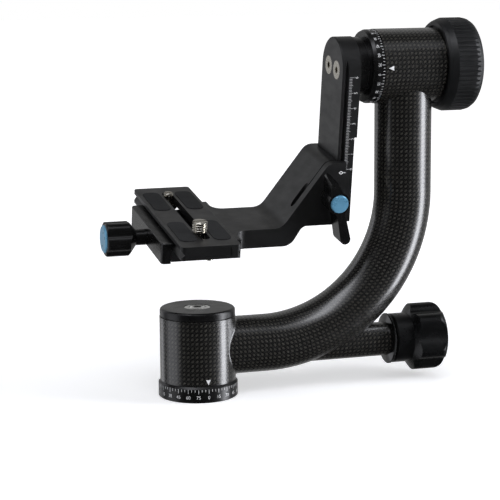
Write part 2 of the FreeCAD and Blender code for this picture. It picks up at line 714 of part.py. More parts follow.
# ---------------------------------------------------------------- tilt axis
def tilt_housing():
    """Metal liner of the barrel with two bearing seats and a counterbore for the friction ring."""
    ring_x0 = barrel_x1 - FRICTION_RING_T
    inner = HOUSING_BORE_R
    return turned_x([(barrel_x0, BEARING_OUT_R), (barrel_x0, barrel_in_r), (barrel_x1, barrel_in_r),
                     (barrel_x1, FRICTION_RING_R1), (ring_x0, FRICTION_RING_R1), (ring_x0, BEARING_OUT_R),
                     (right_bearing_x, BEARING_OUT_R), (right_bearing_x, inner),
                     (left_bearing_x + BEARING_W, inner), (left_bearing_x + BEARING_W, BEARING_OUT_R)],
                    TILT_Z)


def friction_ring():
    return ring_x(FRICTION_RING_R0, FRICTION_RING_R1, barrel_x1 - FRICTION_RING_T, barrel_x1, TILT_Z)


def tilt_shaft():
    """Hub disc, dial seat, bearing seat and threaded end, turned from one bar."""
    seat_end = right_bearing_x + BEARING_W
    shoulder = left_bearing_x
    groove_x = tilt_dial_x0 - HUB_GROOVE_W
    groove_r = HUB_R - HUB_GROOVE
    body = turned_x([(riser_x1, 0), (riser_x1, HUB_R), (groove_x - HUB_GROOVE_SLOPE, HUB_R),
                     (groove_x, groove_r), (tilt_dial_x0, groove_r),
                     (tilt_dial_x0, TILT_DIAL_BORE_R), (tilt_dial_x1, TILT_DIAL_BORE_R),
                     (tilt_dial_x1, SPINDLE_NECK_R), (shoulder, SPINDLE_NECK_R), (shoulder, BEARING_BORE_R),
                     (seat_end, BEARING_BORE_R), (seat_end, TILT_THREAD_R), (shaft_end_x, TILT_THREAD_R),
                     (shaft_end_x, 0)], TILT_Z)
    return hang(body.cut([riser_screw(side) for side in (-1, 1)]))


def tilt_spacer():
    return ring_x(BEARING_BORE_R, SPINDLE_NECK_R, left_bearing_x + BEARING_W, right_bearing_x, TILT_Z)


def tilt_nut():
    """Ring nut that holds the inner races on the shaft, behind the friction ring."""
    x0 = right_bearing_x + BEARING_W
    nut = ring_x(TILT_THREAD_R, NUT_R, x0, x0 + TILT_NUT_H, TILT_Z)
    notch = block(x0, x0 + TILT_NUT_H, -NUT_R, NUT_R, TILT_Z - NUT_NOTCH_W / 2, TILT_Z + NUT_NOTCH_W / 2)
    return nut.cut(notch.cut(rod_x(NUT_R - NUT_NOTCH_D, x0, x0 + TILT_NUT_H, TILT_Z)))


def tilt_dial():
    """Graduated tilt dial with a bevelled left edge."""
    return turned_x([(tilt_dial_x0, TILT_DIAL_BORE_R), (tilt_dial_x0, TILT_DIAL_R - TILT_DIAL_BEVEL_D),
                     (tilt_dial_x0 + TILT_DIAL_BEVEL, TILT_DIAL_R), (tilt_dial_x1, TILT_DIAL_R),
                     (tilt_dial_x1, TILT_DIAL_BORE_R)], TILT_Z)


def tilt_washer():
    """Pressure washer that the knob pushes against the friction ring."""
    x0 = barrel_x1 + PRESSURE_GAP
    return ring_x(TILT_THREAD_R + FIT, PRESSURE_WASHER_R, x0, x0 + PRESSURE_WASHER_T, TILT_Z)


# ---------------------------------------------------------------- tilt lock knob
def tilt_knob_core():
    bore = TILT_THREAD_R + FIT
    bore_end_x = shaft_end_x + CORE_BORE_PAST
    return turned_x([(core_x0, bore), (core_x0, CORE_R), (grip_end_x, CORE_R), (grip_end_x, 0),
                     (bore_end_x, 0), (bore_end_x, bore)], TILT_Z)


def tilt_knob_grip():
    """Ribbed rubber grip with a hollow rim that overhangs the pressure washer."""
    end = GRIP_R - GRIP_END_R
    rounding = [(grip_flat_x1 + along * GRIP_END_L, GRIP_R - down * end) for along, down in GRIP_END_CURVE]
    blank = turned_x([(core_x0, CORE_R), (core_x0, GRIP_RIM_R - GRIP_RIM_W),
                      (grip_x0, GRIP_RIM_R - GRIP_RIM_EDGE_W), (grip_x0, GRIP_RIM_R),
                      (grip_x0 + GRIP_FLARE_L, GRIP_RIM_R + GRIP_FLARE_H), (grip_shoulder_x, GRIP_R),
                      (grip_flat_x1, GRIP_R), *rounding, (grip_end_x, GRIP_END_R),
                      (grip_end_x, CORE_R)], TILT_Z)
    return scalloped_x(blank, GRIP_RIBS, GRIP_RIB_GROOVE_R, GRIP_R - GRIP_RIB_DEPTH, 0,
                       grip_shoulder_x, grip_flat_x1 + GRIP_END_L / 2, TILT_Z)


def tilt_knob_cap():
    """End cap with a soft edge."""
    foot_r = GRIP_END_R - TILT_CAP_SHOULDER
    return turned_x([(grip_end_x, 0), (grip_end_x, foot_r),
                     (tilt_cap_end_x - TILT_CAP_EDGE_W, TILT_CAP_R + TILT_CAP_EDGE_D),
                     (tilt_cap_end_x, TILT_CAP_R), (tilt_cap_end_x, 0)], TILT_Z)


# ---------------------------------------------------------------- riser
def riser_section(side):
    """Outline of half the bar across its height, with the groove in its edge."""
    w = side * RISER_HALF_W
    g = side * (RISER_HALF_W - GROOVE_DEPTH)
    middle = riser_x0 + (GROOVE_X0 + GROOVE_X1) / 2
    return [V(riser_x0 + GROOVE_X0, w, 0), V(middle, g, 0), V(riser_x0 + GROOVE_X1, w, 0)]


def riser():
    """Flat bar with a round top, a dovetail groove in each edge and two countersunk screws."""
    bar = block(riser_x0, riser_x1, -RISER_HALF_W, RISER_HALF_W, riser_bottom_z, TILT_Z)
    head = rod_x(RISER_HALF_W, riser_x0, riser_x1, TILT_Z)
    bar = bar.fuse(head).removeSplitter()
    bar = bar.makeChamfer(RISER_EDGE, [e for e in bar.Edges if e.BoundBox.XMax < riser_x0 + NEAR])
    cutters = []
    for side in (-1, 1):
        groove = face_of([p + V(0, 0, riser_bottom_z) for p in riser_section(side)])
        cutters.append(groove.extrude(V(0, 0, TILT_Z + GROOVE_TOP - riser_bottom_z)))
        cutters.append(riser_screw(side))
    cutters.append(block(riser_x1 - RISER_STEP_D, riser_x1, -RISER_HALF_W, RISER_HALF_W,
                         riser_bottom_z, TILT_Z - RISER_STEP_DROP))
    return hang(bar.cut(cutters))


def riser_screw(side):
    """Countersunk screw through the riser into the hub, drawn solid."""
    y = side * RISER_SCREW_PITCH / 2
    cone = Part.makeCone(RISER_SCREW_HEAD_R, RISER_SCREW_R, RISER_SCREW_CONE_H,
                         V(riser_x0, y, TILT_Z), V(1, 0, 0))
    shank = rod_x(RISER_SCREW_R, riser_x0, riser_x0 + RISER_SCREW_LENGTH, TILT_Z, y)
    return cone.fuse(shank).removeSplitter()


def riser_screws():
    screws = []
    for side in (-1, 1):
        socket = hex_socket_x(riser_x0, riser_x0 + RISER_SCREW_CONE_H, side * RISER_SCREW_PITCH / 2, TILT_Z)
        screws.append(hang(riser_screw(side).cut(socket)))
    return Part.Compound(screws)


# ---------------------------------------------------------------- cradle
def cradle_outline():
    """Side view of the platform, the slope and the block beside the riser, with sharp corners."""
    start = plate_x1 + FIXED_JAW_W / 2
    back = riser_x0 - SLIDE_GAP
    return [(start, platform_bottom_z), (heel_x, platform_bottom_z), (step_x, block_bottom_z),
            (back, block_bottom_z), (back, cradle_top_z), (slope_head_x, cradle_top_z),
            (slope_foot_x, platform_top_z), (start, platform_top_z)]


def fillet_at(solid, x, z, radius):
    """Round the edge along Y that stands at (x, z)."""
    edges = [e for e in solid.Edges
             if all(math.hypot(v.X - x, v.Z - z) < NEAR for v in e.Vertexes) and e.BoundBox.YLength > 1]
    return solid.makeFillet(radius, edges)


def cradle_lip(side):
    """Gripping lip beside the riser's edge, with the ridge that runs in its groove."""
    back = riser_x0 - SLIDE_GAP
    inner = RISER_HALF_W + SLIDE_GAP
    tip = RISER_HALF_W + SLIDE_GAP - LIP_RIDGE
    root_x = riser_x0 + GROOVE_X0
    end_x = riser_x0 + GROOVE_X1
    middle = (root_x + end_x) / 2
    outline = [(back - 1, inner), (root_x + SLIDE_GAP / 2, inner), (middle, tip),
               (end_x - SLIDE_GAP / 2, inner), (riser_x0 + JAW_REACH, inner),
               (riser_x0 + JAW_REACH, CRADLE_HALF_W), (back - 1, CRADLE_HALF_W)]
    face = face_of([V(x, side * y, block_bottom_z) for x, y in outline])
    return face.extrude(V(0, 0, cradle_top_z - block_bottom_z))


def clamp_outline():
    """Section of the clamp base: level seat and the fixed jaw that hooks over the plate's lower flange."""
    hook_x = plate_x1 + SLIDE_GAP
    nose_x = hook_x - hook_reach
    return [(clamp_x0, platform_bottom_z), (clamp_x1, platform_bottom_z), (clamp_x1, platform_top_z),
            (nose_x + JAW_EDGE, platform_top_z), (nose_x, platform_top_z - JAW_EDGE),
            (nose_x, hook_z + hook_reach), (hook_x, hook_z), (hook_x, seat_z), (clamp_x0, seat_z)]


def clamp_corner(side):
    """Hollow corner between the clamp base and the platform."""
    r = CLAMP_FILLET
    y = side * CRADLE_HALF_W
    square = block(clamp_x1, clamp_x1 + r, min(y, y + side * r), max(y, y + side * r),
                   platform_bottom_z, platform_top_z)
    return square.cut(rod_z(r, platform_bottom_z, platform_top_z, clamp_x1 + r, y + side * r))


def cradle():
    """One milled piece: clamp base, platform, slope and the two lips that hold the riser."""
    side_view = cradle_outline()
    body = extrude_y(side_view, -CRADLE_HALF_W, CRADLE_HALF_W)
    body = fillet_at(body, slope_foot_x, platform_top_z, FOOT_FILLET)
    body = fillet_at(body, slope_head_x, cradle_top_z, HEAD_FILLET)
    body = fillet_at(body, heel_x, platform_bottom_z, HEEL_FILLET)
    body = fillet_at(body, step_x, block_bottom_z, STEP_FILLET)
    base = extrude_y(clamp_outline(), -CLAMP_HALF_L, CLAMP_HALF_L)
    body = body.fuse([base, clamp_corner(-1), clamp_corner(1), cradle_lip(-1), cradle_lip(1)])
    body = body.removeSplitter()
    slit = block(slit_x0 - 1, riser_x0, -slit_y - SLIT_W / 2, -slit_y + SLIT_W / 2,
                 platform_bottom_z, cradle_top_z + 1)
    relief_y = -slit_y - SLIT_W / 2 + RELIEF_W / 2
    relief = slot_x(slit_x0 - RELIEF_L, slit_x0, relief_y, RELIEF_W)
    return hang(body.cut([slit, relief] + cradle_holes()))


def slot_x(x0, x1, y, width):
    """Upright slot with round ends, along X, through the cradle's whole height."""
    r = width / 2
    sides = block(x0 + r, x1 - r, y - r, y + r, platform_bottom_z - 1, cradle_top_z)
    ends = [rod_z(r, platform_bottom_z - 1, cradle_top_z, x, y) for x in (x0 + r, x1 - r)]
    return sides.fuse(ends).removeSplitter()


def cradle_holes():
    """Holes for the lever's bolt, the clamp screw, the guide pins and the springs."""
    holes = [rod_y(LEVER_BOLT_R + FIT, -CRADLE_HALF_W, lever_bolt_tip_y + 1, lever_x, lever_z),
             rod_x(QR_SCREW_R + FIT, clamp_x0, qr_screw_x1 + 1, qr_z)]
    for side in (-1, 1):
        holes.append(rod_x(QR_PIN_R + FIT, clamp_x0, qr_pin_x1 + 1, qr_z, side * QR_PIN_Y))
        holes.append(rod_x(SPRING_POCKET_R, clamp_x0, spring_x1, qr_z, side * SPRING_Y))
    return holes


def qr_springs():
    """Two short springs that push the jaw open, each drawn as the tube it fills."""
    springs = []
    for side in (-1, 1):
        y = side * SPRING_Y
        tube = rod_x(SPRING_OUT_R, clamp_x0, spring_x1, qr_z, y)
        springs.append(hang(tube.cut(rod_x(SPRING_IN_R, clamp_x0, spring_x1, qr_z, y))))
    return Part.Compound(springs)


# ---------------------------------------------------------------- moving jaw and its knob
def qr_jaw():
    """Long moving jaw that hooks over the plate's lower flange, with fine ribs across its top."""
    hook_x = PLATE_X0 - SLIDE_GAP
    nose_x = hook_x + hook_reach
    bottom_z = platform_top_z - MOVING_JAW_H
    outline = [(jaw_x0, bottom_z), (jaw_x1, bottom_z), (jaw_x1, seat_z + GAP), (hook_x, seat_z + GAP),
               (hook_x, hook_z), (nose_x, hook_z + hook_reach), (nose_x, platform_top_z - JAW_EDGE),
               (nose_x - JAW_EDGE, platform_top_z), (jaw_x0, platform_top_z)]
    jaw = extrude_y(outline, -CLAMP_HALF_L, CLAMP_HALF_L)
    corners = [e for e in jaw.Edges
               if e.BoundBox.XMax < jaw_x0 + NEAR and e.BoundBox.ZLength > MOVING_JAW_H / 2]
    jaw = jaw.makeFillet(MOVING_JAW_ROUND, corners)
    rims = [e for e in jaw.Edges
            if e.BoundBox.ZLength < NEAR and e.BoundBox.XMax < jaw_x0 + MOVING_JAW_ROUND + NEAR]
    jaw = jaw.makeChamfer(JAW_EDGE, rims)
    holes = [rod_x(QR_SCREW_R + FIT, jaw_x0, jaw_x1, qr_z)]
    holes += [rod_x(QR_PIN_R, jaw_x0 + QR_PIN_SEAT, jaw_x1, qr_z, side * QR_PIN_Y) for side in (-1, 1)]
    return hang(jaw.cut(holes + jaw_rib_grooves()))


def jaw_rib_grooves():
    """Fine grooves across the jaw's top."""
    count = int((CLAMP_HALF_L - JAW_RIB_PITCH) / JAW_RIB_PITCH)
    z0 = platform_top_z - JAW_RIB_GROOVE_D
    half = JAW_RIB_GROOVE_W / 2
    return [block(jaw_x0, plate_x1, k * JAW_RIB_PITCH - half, k * JAW_RIB_PITCH + half, z0, platform_top_z)
            for k in range(-count, count + 1)]


def qr_guide_pins():
    return Part.Compound([hang(rod_x(QR_PIN_R, jaw_x0 + QR_PIN_SEAT, qr_pin_x1, qr_z, side * QR_PIN_Y))
                          for side in (-1, 1)])


def qr_screw():
    return hang(rod_x(QR_SCREW_R, qr_screw_x0, qr_screw_x1, qr_z))


def qr_knob():
    """Knob with round lobes that tapers to a collar against the jaw."""
    blank = turned_x([(qr_collar_x, 0), (qr_collar_x, QR_COLLAR_R), (qr_cone_x0, QR_COLLAR_R),
                      (qr_cone_x1, QR_KNOB_R), (qr_end_x, QR_KNOB_R), (qr_end_x, 0)], qr_z)
    blank = blank.makeFillet(QR_KNOB_ROUND, rim(blank, QR_KNOB_R, V(qr_end_x, 0, qr_z)))
    knob = blank.common(lobed_bar_x(QR_KNOB_LOBES, QR_KNOB_R, QR_VALLEY_R, QR_SCALLOP_R, QR_KNOB_PHASE,
                                    qr_end_x, qr_collar_x, qr_z))
    screw = rod_x(QR_SCREW_R, qr_screw_x0, qr_screw_x1, qr_z)
    return hang(knob.cut([screw, rod_x(QR_CAP_R, qr_end_x, qr_end_x + QR_CAP_SUNK, qr_z)]))


def qr_knob_cap():
    """Blue end cap, slightly domed by its bevel."""
    x0 = qr_end_x - QR_CAP_PROUD
    x1 = qr_end_x + QR_CAP_SUNK
    return hang(turned_x([(x0, 0), (x0, QR_CAP_R - QR_CAP_EDGE_D), (x0 + QR_CAP_EDGE_W, QR_CAP_R),
                          (x1, QR_CAP_R), (x1, 0)], qr_z))


# ---------------------------------------------------------------- quick-release plate
def quick_plate():
    """Dovetail plate with an undercut slot, four pad pockets and a shallow panel on its near end."""
    z1 = plate_z0 + PLATE_FLANGE_T
    z2 = z1 + PLATE_GROOVE_H / 2
    z3 = z1 + PLATE_GROOVE_H
    d = PLATE_GROOVE_D
    edge = PLATE_EDGE
    outline = [(PLATE_X0, plate_z0), (plate_x1, plate_z0), (plate_x1, z1), (plate_x1 - d, z2), (plate_x1, z3),
               (plate_x1, plate_z1 - edge), (plate_x1 - edge, plate_z1), (PLATE_X0 + edge, plate_z1),
               (PLATE_X0, plate_z1 - edge), (PLATE_X0, z3), (PLATE_X0 + d, z2), (PLATE_X0, z1)]
    plate = extrude_y(outline, -PLATE_HALF_L, PLATE_HALF_L)
    plate = plate.common(rounded_slab(PLATE_X0, plate_x1, -PLATE_HALF_L, PLATE_HALF_L, plate_z0, plate_z1,
                                      PLATE_CORNER))
    cutters = [slot_z(SLOT_W, slot_y0, slot_y1, plate_z0, plate_z1, plate_mid_x),
               slot_z(UNDERCUT_W, slot_y0, slot_y1, plate_z0, plate_z0 + UNDERCUT_D, plate_mid_x)]
    cutters += [pad(i, j, plate_z1 - PAD_SUNK, plate_z1 + 1) for i in (-1, 1) for j in (-1, 1)]
    cutters += [stop_screw(side) for side in (-1, 1)]
    panel_z = (plate_z0 + plate_z1 - END_RECESS_H) / 2
    cutters.append(block(plate_mid_x - END_RECESS_W / 2, plate_mid_x + END_RECESS_W / 2,
                         -PLATE_HALF_L, -PLATE_HALF_L + END_RECESS_D, panel_z, panel_z + END_RECESS_H))
    return hang(plate.cut(cutters))


def rounded_slab(x0, x1, y0, y1, z0, z1, radius):
    """Flat slab with its four upright edges rounded."""
    slab = block(x0, x1, y0, y1, z0, z1)
    upright = [e for e in slab.Edges if e.BoundBox.ZLength > (z1 - z0) * 0.9]
    return slab.makeFillet(radius, upright)


def pad(i, j, z0, z1):
    """One pad between two heights; i and j choose the side and the end."""
    x = plate_mid_x + i * PAD_X
    end = PLATE_HALF_L - PAD_INSET
    y0, y1 = sorted((j * end, j * (end - PAD_L)))
    return rounded_slab(x - PAD_W / 2, x + PAD_W / 2, y0, y1, z0, z1, PAD_CORNER)


def plate_pads():
    return Part.Compound([hang(pad(i, j, plate_z1 - PAD_SUNK, plate_z1 + PAD_PROUD))
                          for i in (-1, 1) for j in (-1, 1)])


def stop_screw(side):
    """Safety screw under the plate that stops it sliding out of the clamp."""
    y = side * (PLATE_HALF_L - STOP_INSET)
    return rod_z(STOP_R, plate_z0 - STOP_DROP, plate_z0 + STOP_DEPTH, plate_mid_x, y)


def plate_stop_screws():
    return Part.Compound([hang(stop_screw(side)) for side in (-1, 1)])


def stud(radius, height, driver_depth, y):
    """Camera screw: head in the undercut, neck in the slot, thread above, with a driver slot."""
    head_z = plate_z0 + GAP
    top = plate_z1 + height
    body = rod_z(STUD_HEAD_R, head_z, head_z + STUD_HEAD_T, plate_mid_x, y)
    body = body.fuse([rod_z(STUD_NECK_R, head_z, plate_z1 + GAP, plate_mid_x, y),
                      rod_z(radius, plate_z1 + GAP, top, plate_mid_x, y)]).removeSplitter()
    driver = block(plate_mid_x - radius, plate_mid_x + radius, y - STUD_DRIVER_W / 2, y + STUD_DRIVER_W / 2,
                   top - driver_depth, top)
    return hang(body.cut(driver))


def stud_washer(y):
    """Washer between the screw's head and the roof of the undercut."""
    z0 = plate_z0 + GAP + STUD_HEAD_T + GAP
    disc = rod_z(STUD_WASHER_R, z0, z0 + STUD_WASHER_T, plate_mid_x, y)
    return hang(disc.cut(rod_z(STUD_NECK_R + FIT, z0, z0 + STUD_WASHER_T, plate_mid_x, y)))


# ---------------------------------------------------------------- clamp lever
def lever_paddle(length, lean, end_r, root_r):
    """Tapering paddle from the hub to a round end; lean turns it from straight down towards +X."""
    angle = math.radians(lean)
    ax, az = math.sin(angle), -math.cos(angle)
    tip = V(lever_x + length * ax, 0, lever_z + length * az)
    side = V(-az, 0, ax)
    hub = V(lever_x, 0, lever_z)
    shift = V(0, lever_front_y, 0)
    points = [hub + side * root_r, tip + side * end_r, tip - side * end_r, hub - side * root_r]
    blade = face_of([p + shift for p in points]).extrude(V(0, lever_back_y - lever_front_y, 0))
    return blade.fuse(rod_y(end_r, lever_front_y, lever_back_y, tip.x, tip.z))


def lever_tail_slope(box):
    """Wedge over the tail: its top slopes down towards the hand."""
    top = box.ZMax
    side_view = [V(box.XMin, lever_front_y, top - LEVER_TAIL_SLOPE), V(box.XMin, lever_back_y, top),
                 V(box.XMin, lever_back_y, top + 1), V(box.XMin, lever_front_y, top + 1)]
    return face_of(side_view).extrude(V(box.XLength, 0, 0))


def cradle_lever():
    """Clamp lever: round hub, short tail up, longer arm down, with hollow corners between them."""
    hub = rod_y(LEVER_HUB_R, lever_front_y, lever_back_y, lever_x, lever_z)
    arm = lever_paddle(LEVER_ARM_L, LEVER_ARM_LEAN, LEVER_ARM_R, LEVER_NECK_R)
    tail = lever_paddle(LEVER_TAIL_L, 180 + LEVER_TAIL_LEAN, LEVER_TAIL_R, LEVER_TAIL_ROOT)
    tail = tail.cut(lever_tail_slope(tail.BoundBox))
    body = hub.fuse([arm, tail]).removeSplitter()
    corners = [e for e in body.Edges if e.BoundBox.YLength > LEVER_W - NEAR
               and (e.BoundBox.Center - V(lever_x, e.BoundBox.Center.y, lever_z)).Length < LEVER_HUB_R + NEAR]
    body = body.makeFillet(LEVER_ROOT_FILLET, corners)
    return hang(body.cut([lever_bolt_body()]))


def lever_bolt_body():
    head_y = lever_front_y
    shank = rod_y(LEVER_BOLT_R, head_y, lever_bolt_tip_y, lever_x, lever_z)
    head = rod_y(LEVER_BOLT_HEAD_R, head_y, head_y + LEVER_BOLT_HEAD_T, lever_x, lever_z)
    return shank.fuse(head).removeSplitter()


def lever_bolt():
    return hang(lever_bolt_body())


def lever_cap():
    """Blue cap over the bolt's head."""
    cap = rod_y(LEVER_CAP_R, lever_front_y - LEVER_CAP_T, lever_front_y, lever_x, lever_z)
    front = [e for e in cap.Edges if e.BoundBox.YMax < cap.BoundBox.YMin + NEAR]
    return hang(cap.makeChamfer(LEVER_CAP_EDGE, front))


def lever_washer():
    washer = rod_y(LEVER_WASHER_R, lever_back_y, -CRADLE_HALF_W - GAP, lever_x, lever_z)
    return hang(washer.cut(lever_bolt_body()))


# ---------------------------------------------------------------- all pieces
inner_r1 = BEARING_BORE_R + RACE_T
outer_r0 = BEARING_OUT_R - RACE_T

pieces = {
    "pan_dial": pan_dial(),
    "pan_spindle": pan_spindle(),
    "pan_dial_screws": dial_screws(),
    "brake_drum": brake_drum(),
    "pan_nut": pan_nut(),
    "pan_inner_races": z_rings(BEARING_BORE_R, inner_r1, BEARING_W),
    "pan_bearing_cages": z_rings(inner_r1 + FIT, outer_r0 - FIT, CAGE_W),
    "pan_outer_races": z_rings(outer_r0, BEARING_OUT_R, BEARING_W),
    "base_sleeve": base_sleeve(),
    "pan_housing": pan_housing(),
    "top_cap": top_cap(),
    "cap_disc": cap_disc(),
    "elbow_tube": elbow_tube(),
    "lock_stub": lock_stub(),
    "lock_collar": lock_collar(),
    "rod_bush": rod_bush(),
    "tilt_barrel": tilt_barrel(),
    "tilt_housing": tilt_housing(),
    "tilt_outer_races": x_rings(outer_r0, BEARING_OUT_R, BEARING_W),
    "friction_ring": friction_ring(),
    "brake_rod": brake_rod(),
    "brake_shoe": brake_shoe(),
    "lock_knob": lock_knob(),
    "lock_screw": lock_screw(),
    "lock_knob_cap": lock_knob_cap(),
    "tilt_shaft": tilt_shaft(),
    "tilt_dial": tilt_dial(),
    "tilt_inner_races": x_rings(BEARING_BORE_R, inner_r1, BEARING_W),
    "tilt_bearing_cages": x_rings(inner_r1 + FIT, outer_r0 - FIT, CAGE_W),
    "tilt_spacer": tilt_spacer(),
    "tilt_nut": tilt_nut(),
    "riser": riser(),
    "riser_screws": riser_screws(),
    "tilt_washer": tilt_washer(),
    "tilt_knob_core": tilt_knob_core(),
    "tilt_knob_grip": tilt_knob_grip(),
    "tilt_knob_cap": tilt_knob_cap(),
    "cradle": cradle(),
    "qr_springs": qr_springs(),
    "cradle_lever": cradle_lever(),
    "lever_cap": lever_cap(),
    "lever_bolt": lever_bolt(),
    "lever_washer": lever_washer(),
    "qr_jaw": qr_jaw(),
    "qr_guide_pins": qr_guide_pins(),
    "qr_knob": qr_knob(),
    "qr_knob_cap": qr_knob_cap(),
    "qr_screw": qr_screw(),
    "quick_plate": quick_plate(),
    "plate_pads": plate_pads(),
    "plate_stop_screws": plate_stop_screws(),
    "large_stud": stud(LARGE_STUD_R, LARGE_STUD_H, LARGE_STUD_DRIVER_D, large_stud_y),
    "large_stud_washer": stud_washer(large_stud_y),
    "small_stud": stud(SMALL_STUD_R, SMALL_STUD_H, SMALL_STUD_DRIVER_D, small_stud_y),
    "small_stud_washer": stud_washer(small_stud_y),
}

os.makedirs("parts", exist_ok=True)
for name, shape in pieces.items():
    shape.exportStep("parts/" + name + ".step")
    print(f"{name:20s} solids {len(shape.Solids)}  volume {shape.Volume:9.1f}  valid {shape.isValid()}")
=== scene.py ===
"""Looks of the gimbal tripod head: materials, painted scales, screw threads, studio and camera.

Metres, +Z up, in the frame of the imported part.
"""
import bpy
import math
from mathutils import Matrix, Vector

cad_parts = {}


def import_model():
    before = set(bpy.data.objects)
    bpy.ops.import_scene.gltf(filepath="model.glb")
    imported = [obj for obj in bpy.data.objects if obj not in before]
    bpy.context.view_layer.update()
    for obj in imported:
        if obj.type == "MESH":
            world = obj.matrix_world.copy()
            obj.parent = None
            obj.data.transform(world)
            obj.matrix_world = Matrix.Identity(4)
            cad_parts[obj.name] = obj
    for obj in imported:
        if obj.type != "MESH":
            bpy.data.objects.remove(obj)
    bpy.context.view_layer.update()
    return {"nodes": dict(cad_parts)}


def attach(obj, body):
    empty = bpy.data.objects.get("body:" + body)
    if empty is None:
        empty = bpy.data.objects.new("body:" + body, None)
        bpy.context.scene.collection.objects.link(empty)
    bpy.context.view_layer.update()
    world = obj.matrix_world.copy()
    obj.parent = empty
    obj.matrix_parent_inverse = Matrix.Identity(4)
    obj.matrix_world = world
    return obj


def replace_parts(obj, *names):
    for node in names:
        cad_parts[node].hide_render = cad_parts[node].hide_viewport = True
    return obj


MM = 0.001

# ---------------------------------------------------------------- sizes shared with the part
DIAL_R = 25.4 * MM
SLEEVE_R = 24.2 * MM
LID_TOP_Z = 56.8 * MM
LID_DISC_R = 8.5 * MM
LID_DISC_H = 0.7 * MM
TUBE_R = 18.5 * MM
BEND_X = 45.0 * MM           # centre of the tube's quarter bend
BEND_Z = 125.4 * MM
BEND_R = 95.0 * MM
STUB_Z = 26.9 * MM
STUB_R = 11.1 * MM
BARREL_R = 23.9 * MM
TILT_Z = 206.4 * MM          # height of the tilt axis, which runs along X
TILT_REST = 9.5              # degrees that the hanging group is turned at rest
TILT_DIAL_R = 23.6 * MM
RISER_LEFT_X = 91.45 * MM
RISER_HALF_W = 19.5 * MM
CRADLE_HALF_W = 23.7 * MM
PLATE_MIDDLE_X = -2.75 * MM
INCH = 25.4 * MM             # unit of the camera screws

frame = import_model()
nodes = frame["nodes"]


# ---------------------------------------------------------------- node graphs
class Graph:
    """Writes a material's nodes as expressions: every call returns the socket that carries its result."""

    def __init__(self, name):
        self.material = bpy.data.materials.new(name)
        self.material.use_nodes = True
        self.tree = self.material.node_tree
        self.tree.nodes.clear()
        self.shader = self.node("ShaderNodeBsdfPrincipled")
        out = self.node("ShaderNodeOutputMaterial")
        self.tree.links.new(self.shader.outputs[0], out.inputs[0])

    def node(self, kind, **settings):
        made = self.tree.nodes.new(kind)
        for key, value in settings.items():
            setattr(made, key, value)
        return made

    def feed(self, socket, value):
        if isinstance(value, bpy.types.NodeSocket):
            self.tree.links.new(value, socket)
        else:
            socket.default_value = value

    def calc(self, operation, *values):
        made = self.node("ShaderNodeMath", operation=operation)
        for socket, value in zip(made.inputs, values):
            self.feed(socket, value)
        return made.outputs[0]

    def place(self):
        return self.node("ShaderNodeTexCoord").outputs["Object"]

    def axes(self, vector):
        made = self.node("ShaderNodeSeparateXYZ")
        self.feed(made.inputs[0], vector)
        return made.outputs[0], made.outputs[1], made.outputs[2]

    def vector(self, x, y, z):
        made = self.node("ShaderNodeCombineXYZ")
        for socket, value in zip(made.inputs, (x, y, z)):
            self.feed(socket, value)
        return made.outputs[0]

    def stretch(self, vector, scale):
        made = self.node("ShaderNodeMapping")
        self.feed(made.inputs["Vector"], vector)
        made.inputs["Scale"].default_value = scale
        return made.outputs[0]

    def noise(self, vector, scale, detail):
        """Noise with scale features to the metre."""
        made = self.node("ShaderNodeTexNoise")
        self.feed(made.inputs["Vector"], vector)
        made.inputs["Scale"].default_value = scale
        made.inputs["Detail"].default_value = detail
        made.inputs["Roughness"].default_value = 0.55
        return made.outputs["Fac"]

    def cells(self, vector, scale):
        made = self.node("ShaderNodeTexVoronoi")
        self.feed(made.inputs["Vector"], vector)
        made.inputs["Scale"].default_value = scale
        return made.outputs["Distance"]

    def span(self, value, low, high, out_low, out_high):
        """The value's range from low to high, stretched to out_low to out_high."""
        made = self.node("ShaderNodeMapRange")
        for socket, item in zip(made.inputs, (value, low, high, out_low, out_high)):
            self.feed(socket, item)
        return made.outputs[0]

    def spread(self, noise, out_low, out_high):
        """A noise, which mostly keeps between 0.3 and 0.7, spread over out_low to out_high."""
        return self.span(noise, 0.3, 0.7, out_low, out_high)

    def blend(self, share, first, second):
        """Colour between first, at share 0, and second, at share 1."""
        made = self.node("ShaderNodeMix", data_type="RGBA")
        self.feed(made.inputs["Factor"], share)
        for socket, value in zip((made.inputs[6], made.inputs[7]), (first, second)):
            self.feed(socket, value)
        return made.outputs[2]

    def either(self, switch, first, second):
        """first where the switch is 1, second where it is 0."""
        off = self.calc("SUBTRACT", 1.0, switch)
        return self.calc("ADD", self.calc("MULTIPLY", first, switch), self.calc("MULTIPLY", second, off))

    def bump(self, height, distance):
        made = self.node("ShaderNodeBump")
        made.inputs["Strength"].default_value = 1.0
        made.inputs["Distance"].default_value = distance
        self.feed(made.inputs["Height"], height)
        return made.outputs[0]

    def edges(self):
        """1 close to a sharp edge, where the finishes paint an edge highlight."""
        rounded = self.node("ShaderNodeBevel", samples=4)
        rounded.inputs["Radius"].default_value = 0.25 * MM
        across = self.node("ShaderNodeVectorMath", operation="DOT_PRODUCT")
        self.feed(across.inputs[0], rounded.outputs[0])
        self.feed(across.inputs[1], self.node("ShaderNodeNewGeometry").outputs["Normal"])
        return self.span(across.outputs["Value"], 0.99, 0.80, 0.0, 1.0)

    def finish(self, **sockets):
        for key, value in sockets.items():
            self.feed(self.shader.inputs[key.replace("_", " ")], value)
        return self.material


def grey(level, warm=0.0):
    return (level * (1 + warm), level, level * (1 - warm), 1.0)


EDGE_SHEEN = grey(0.08)       # colour of black anodising at its edges: a painted edge highlight
GROOVES = 9000.0             # tool marks of a turned surface, to the metre


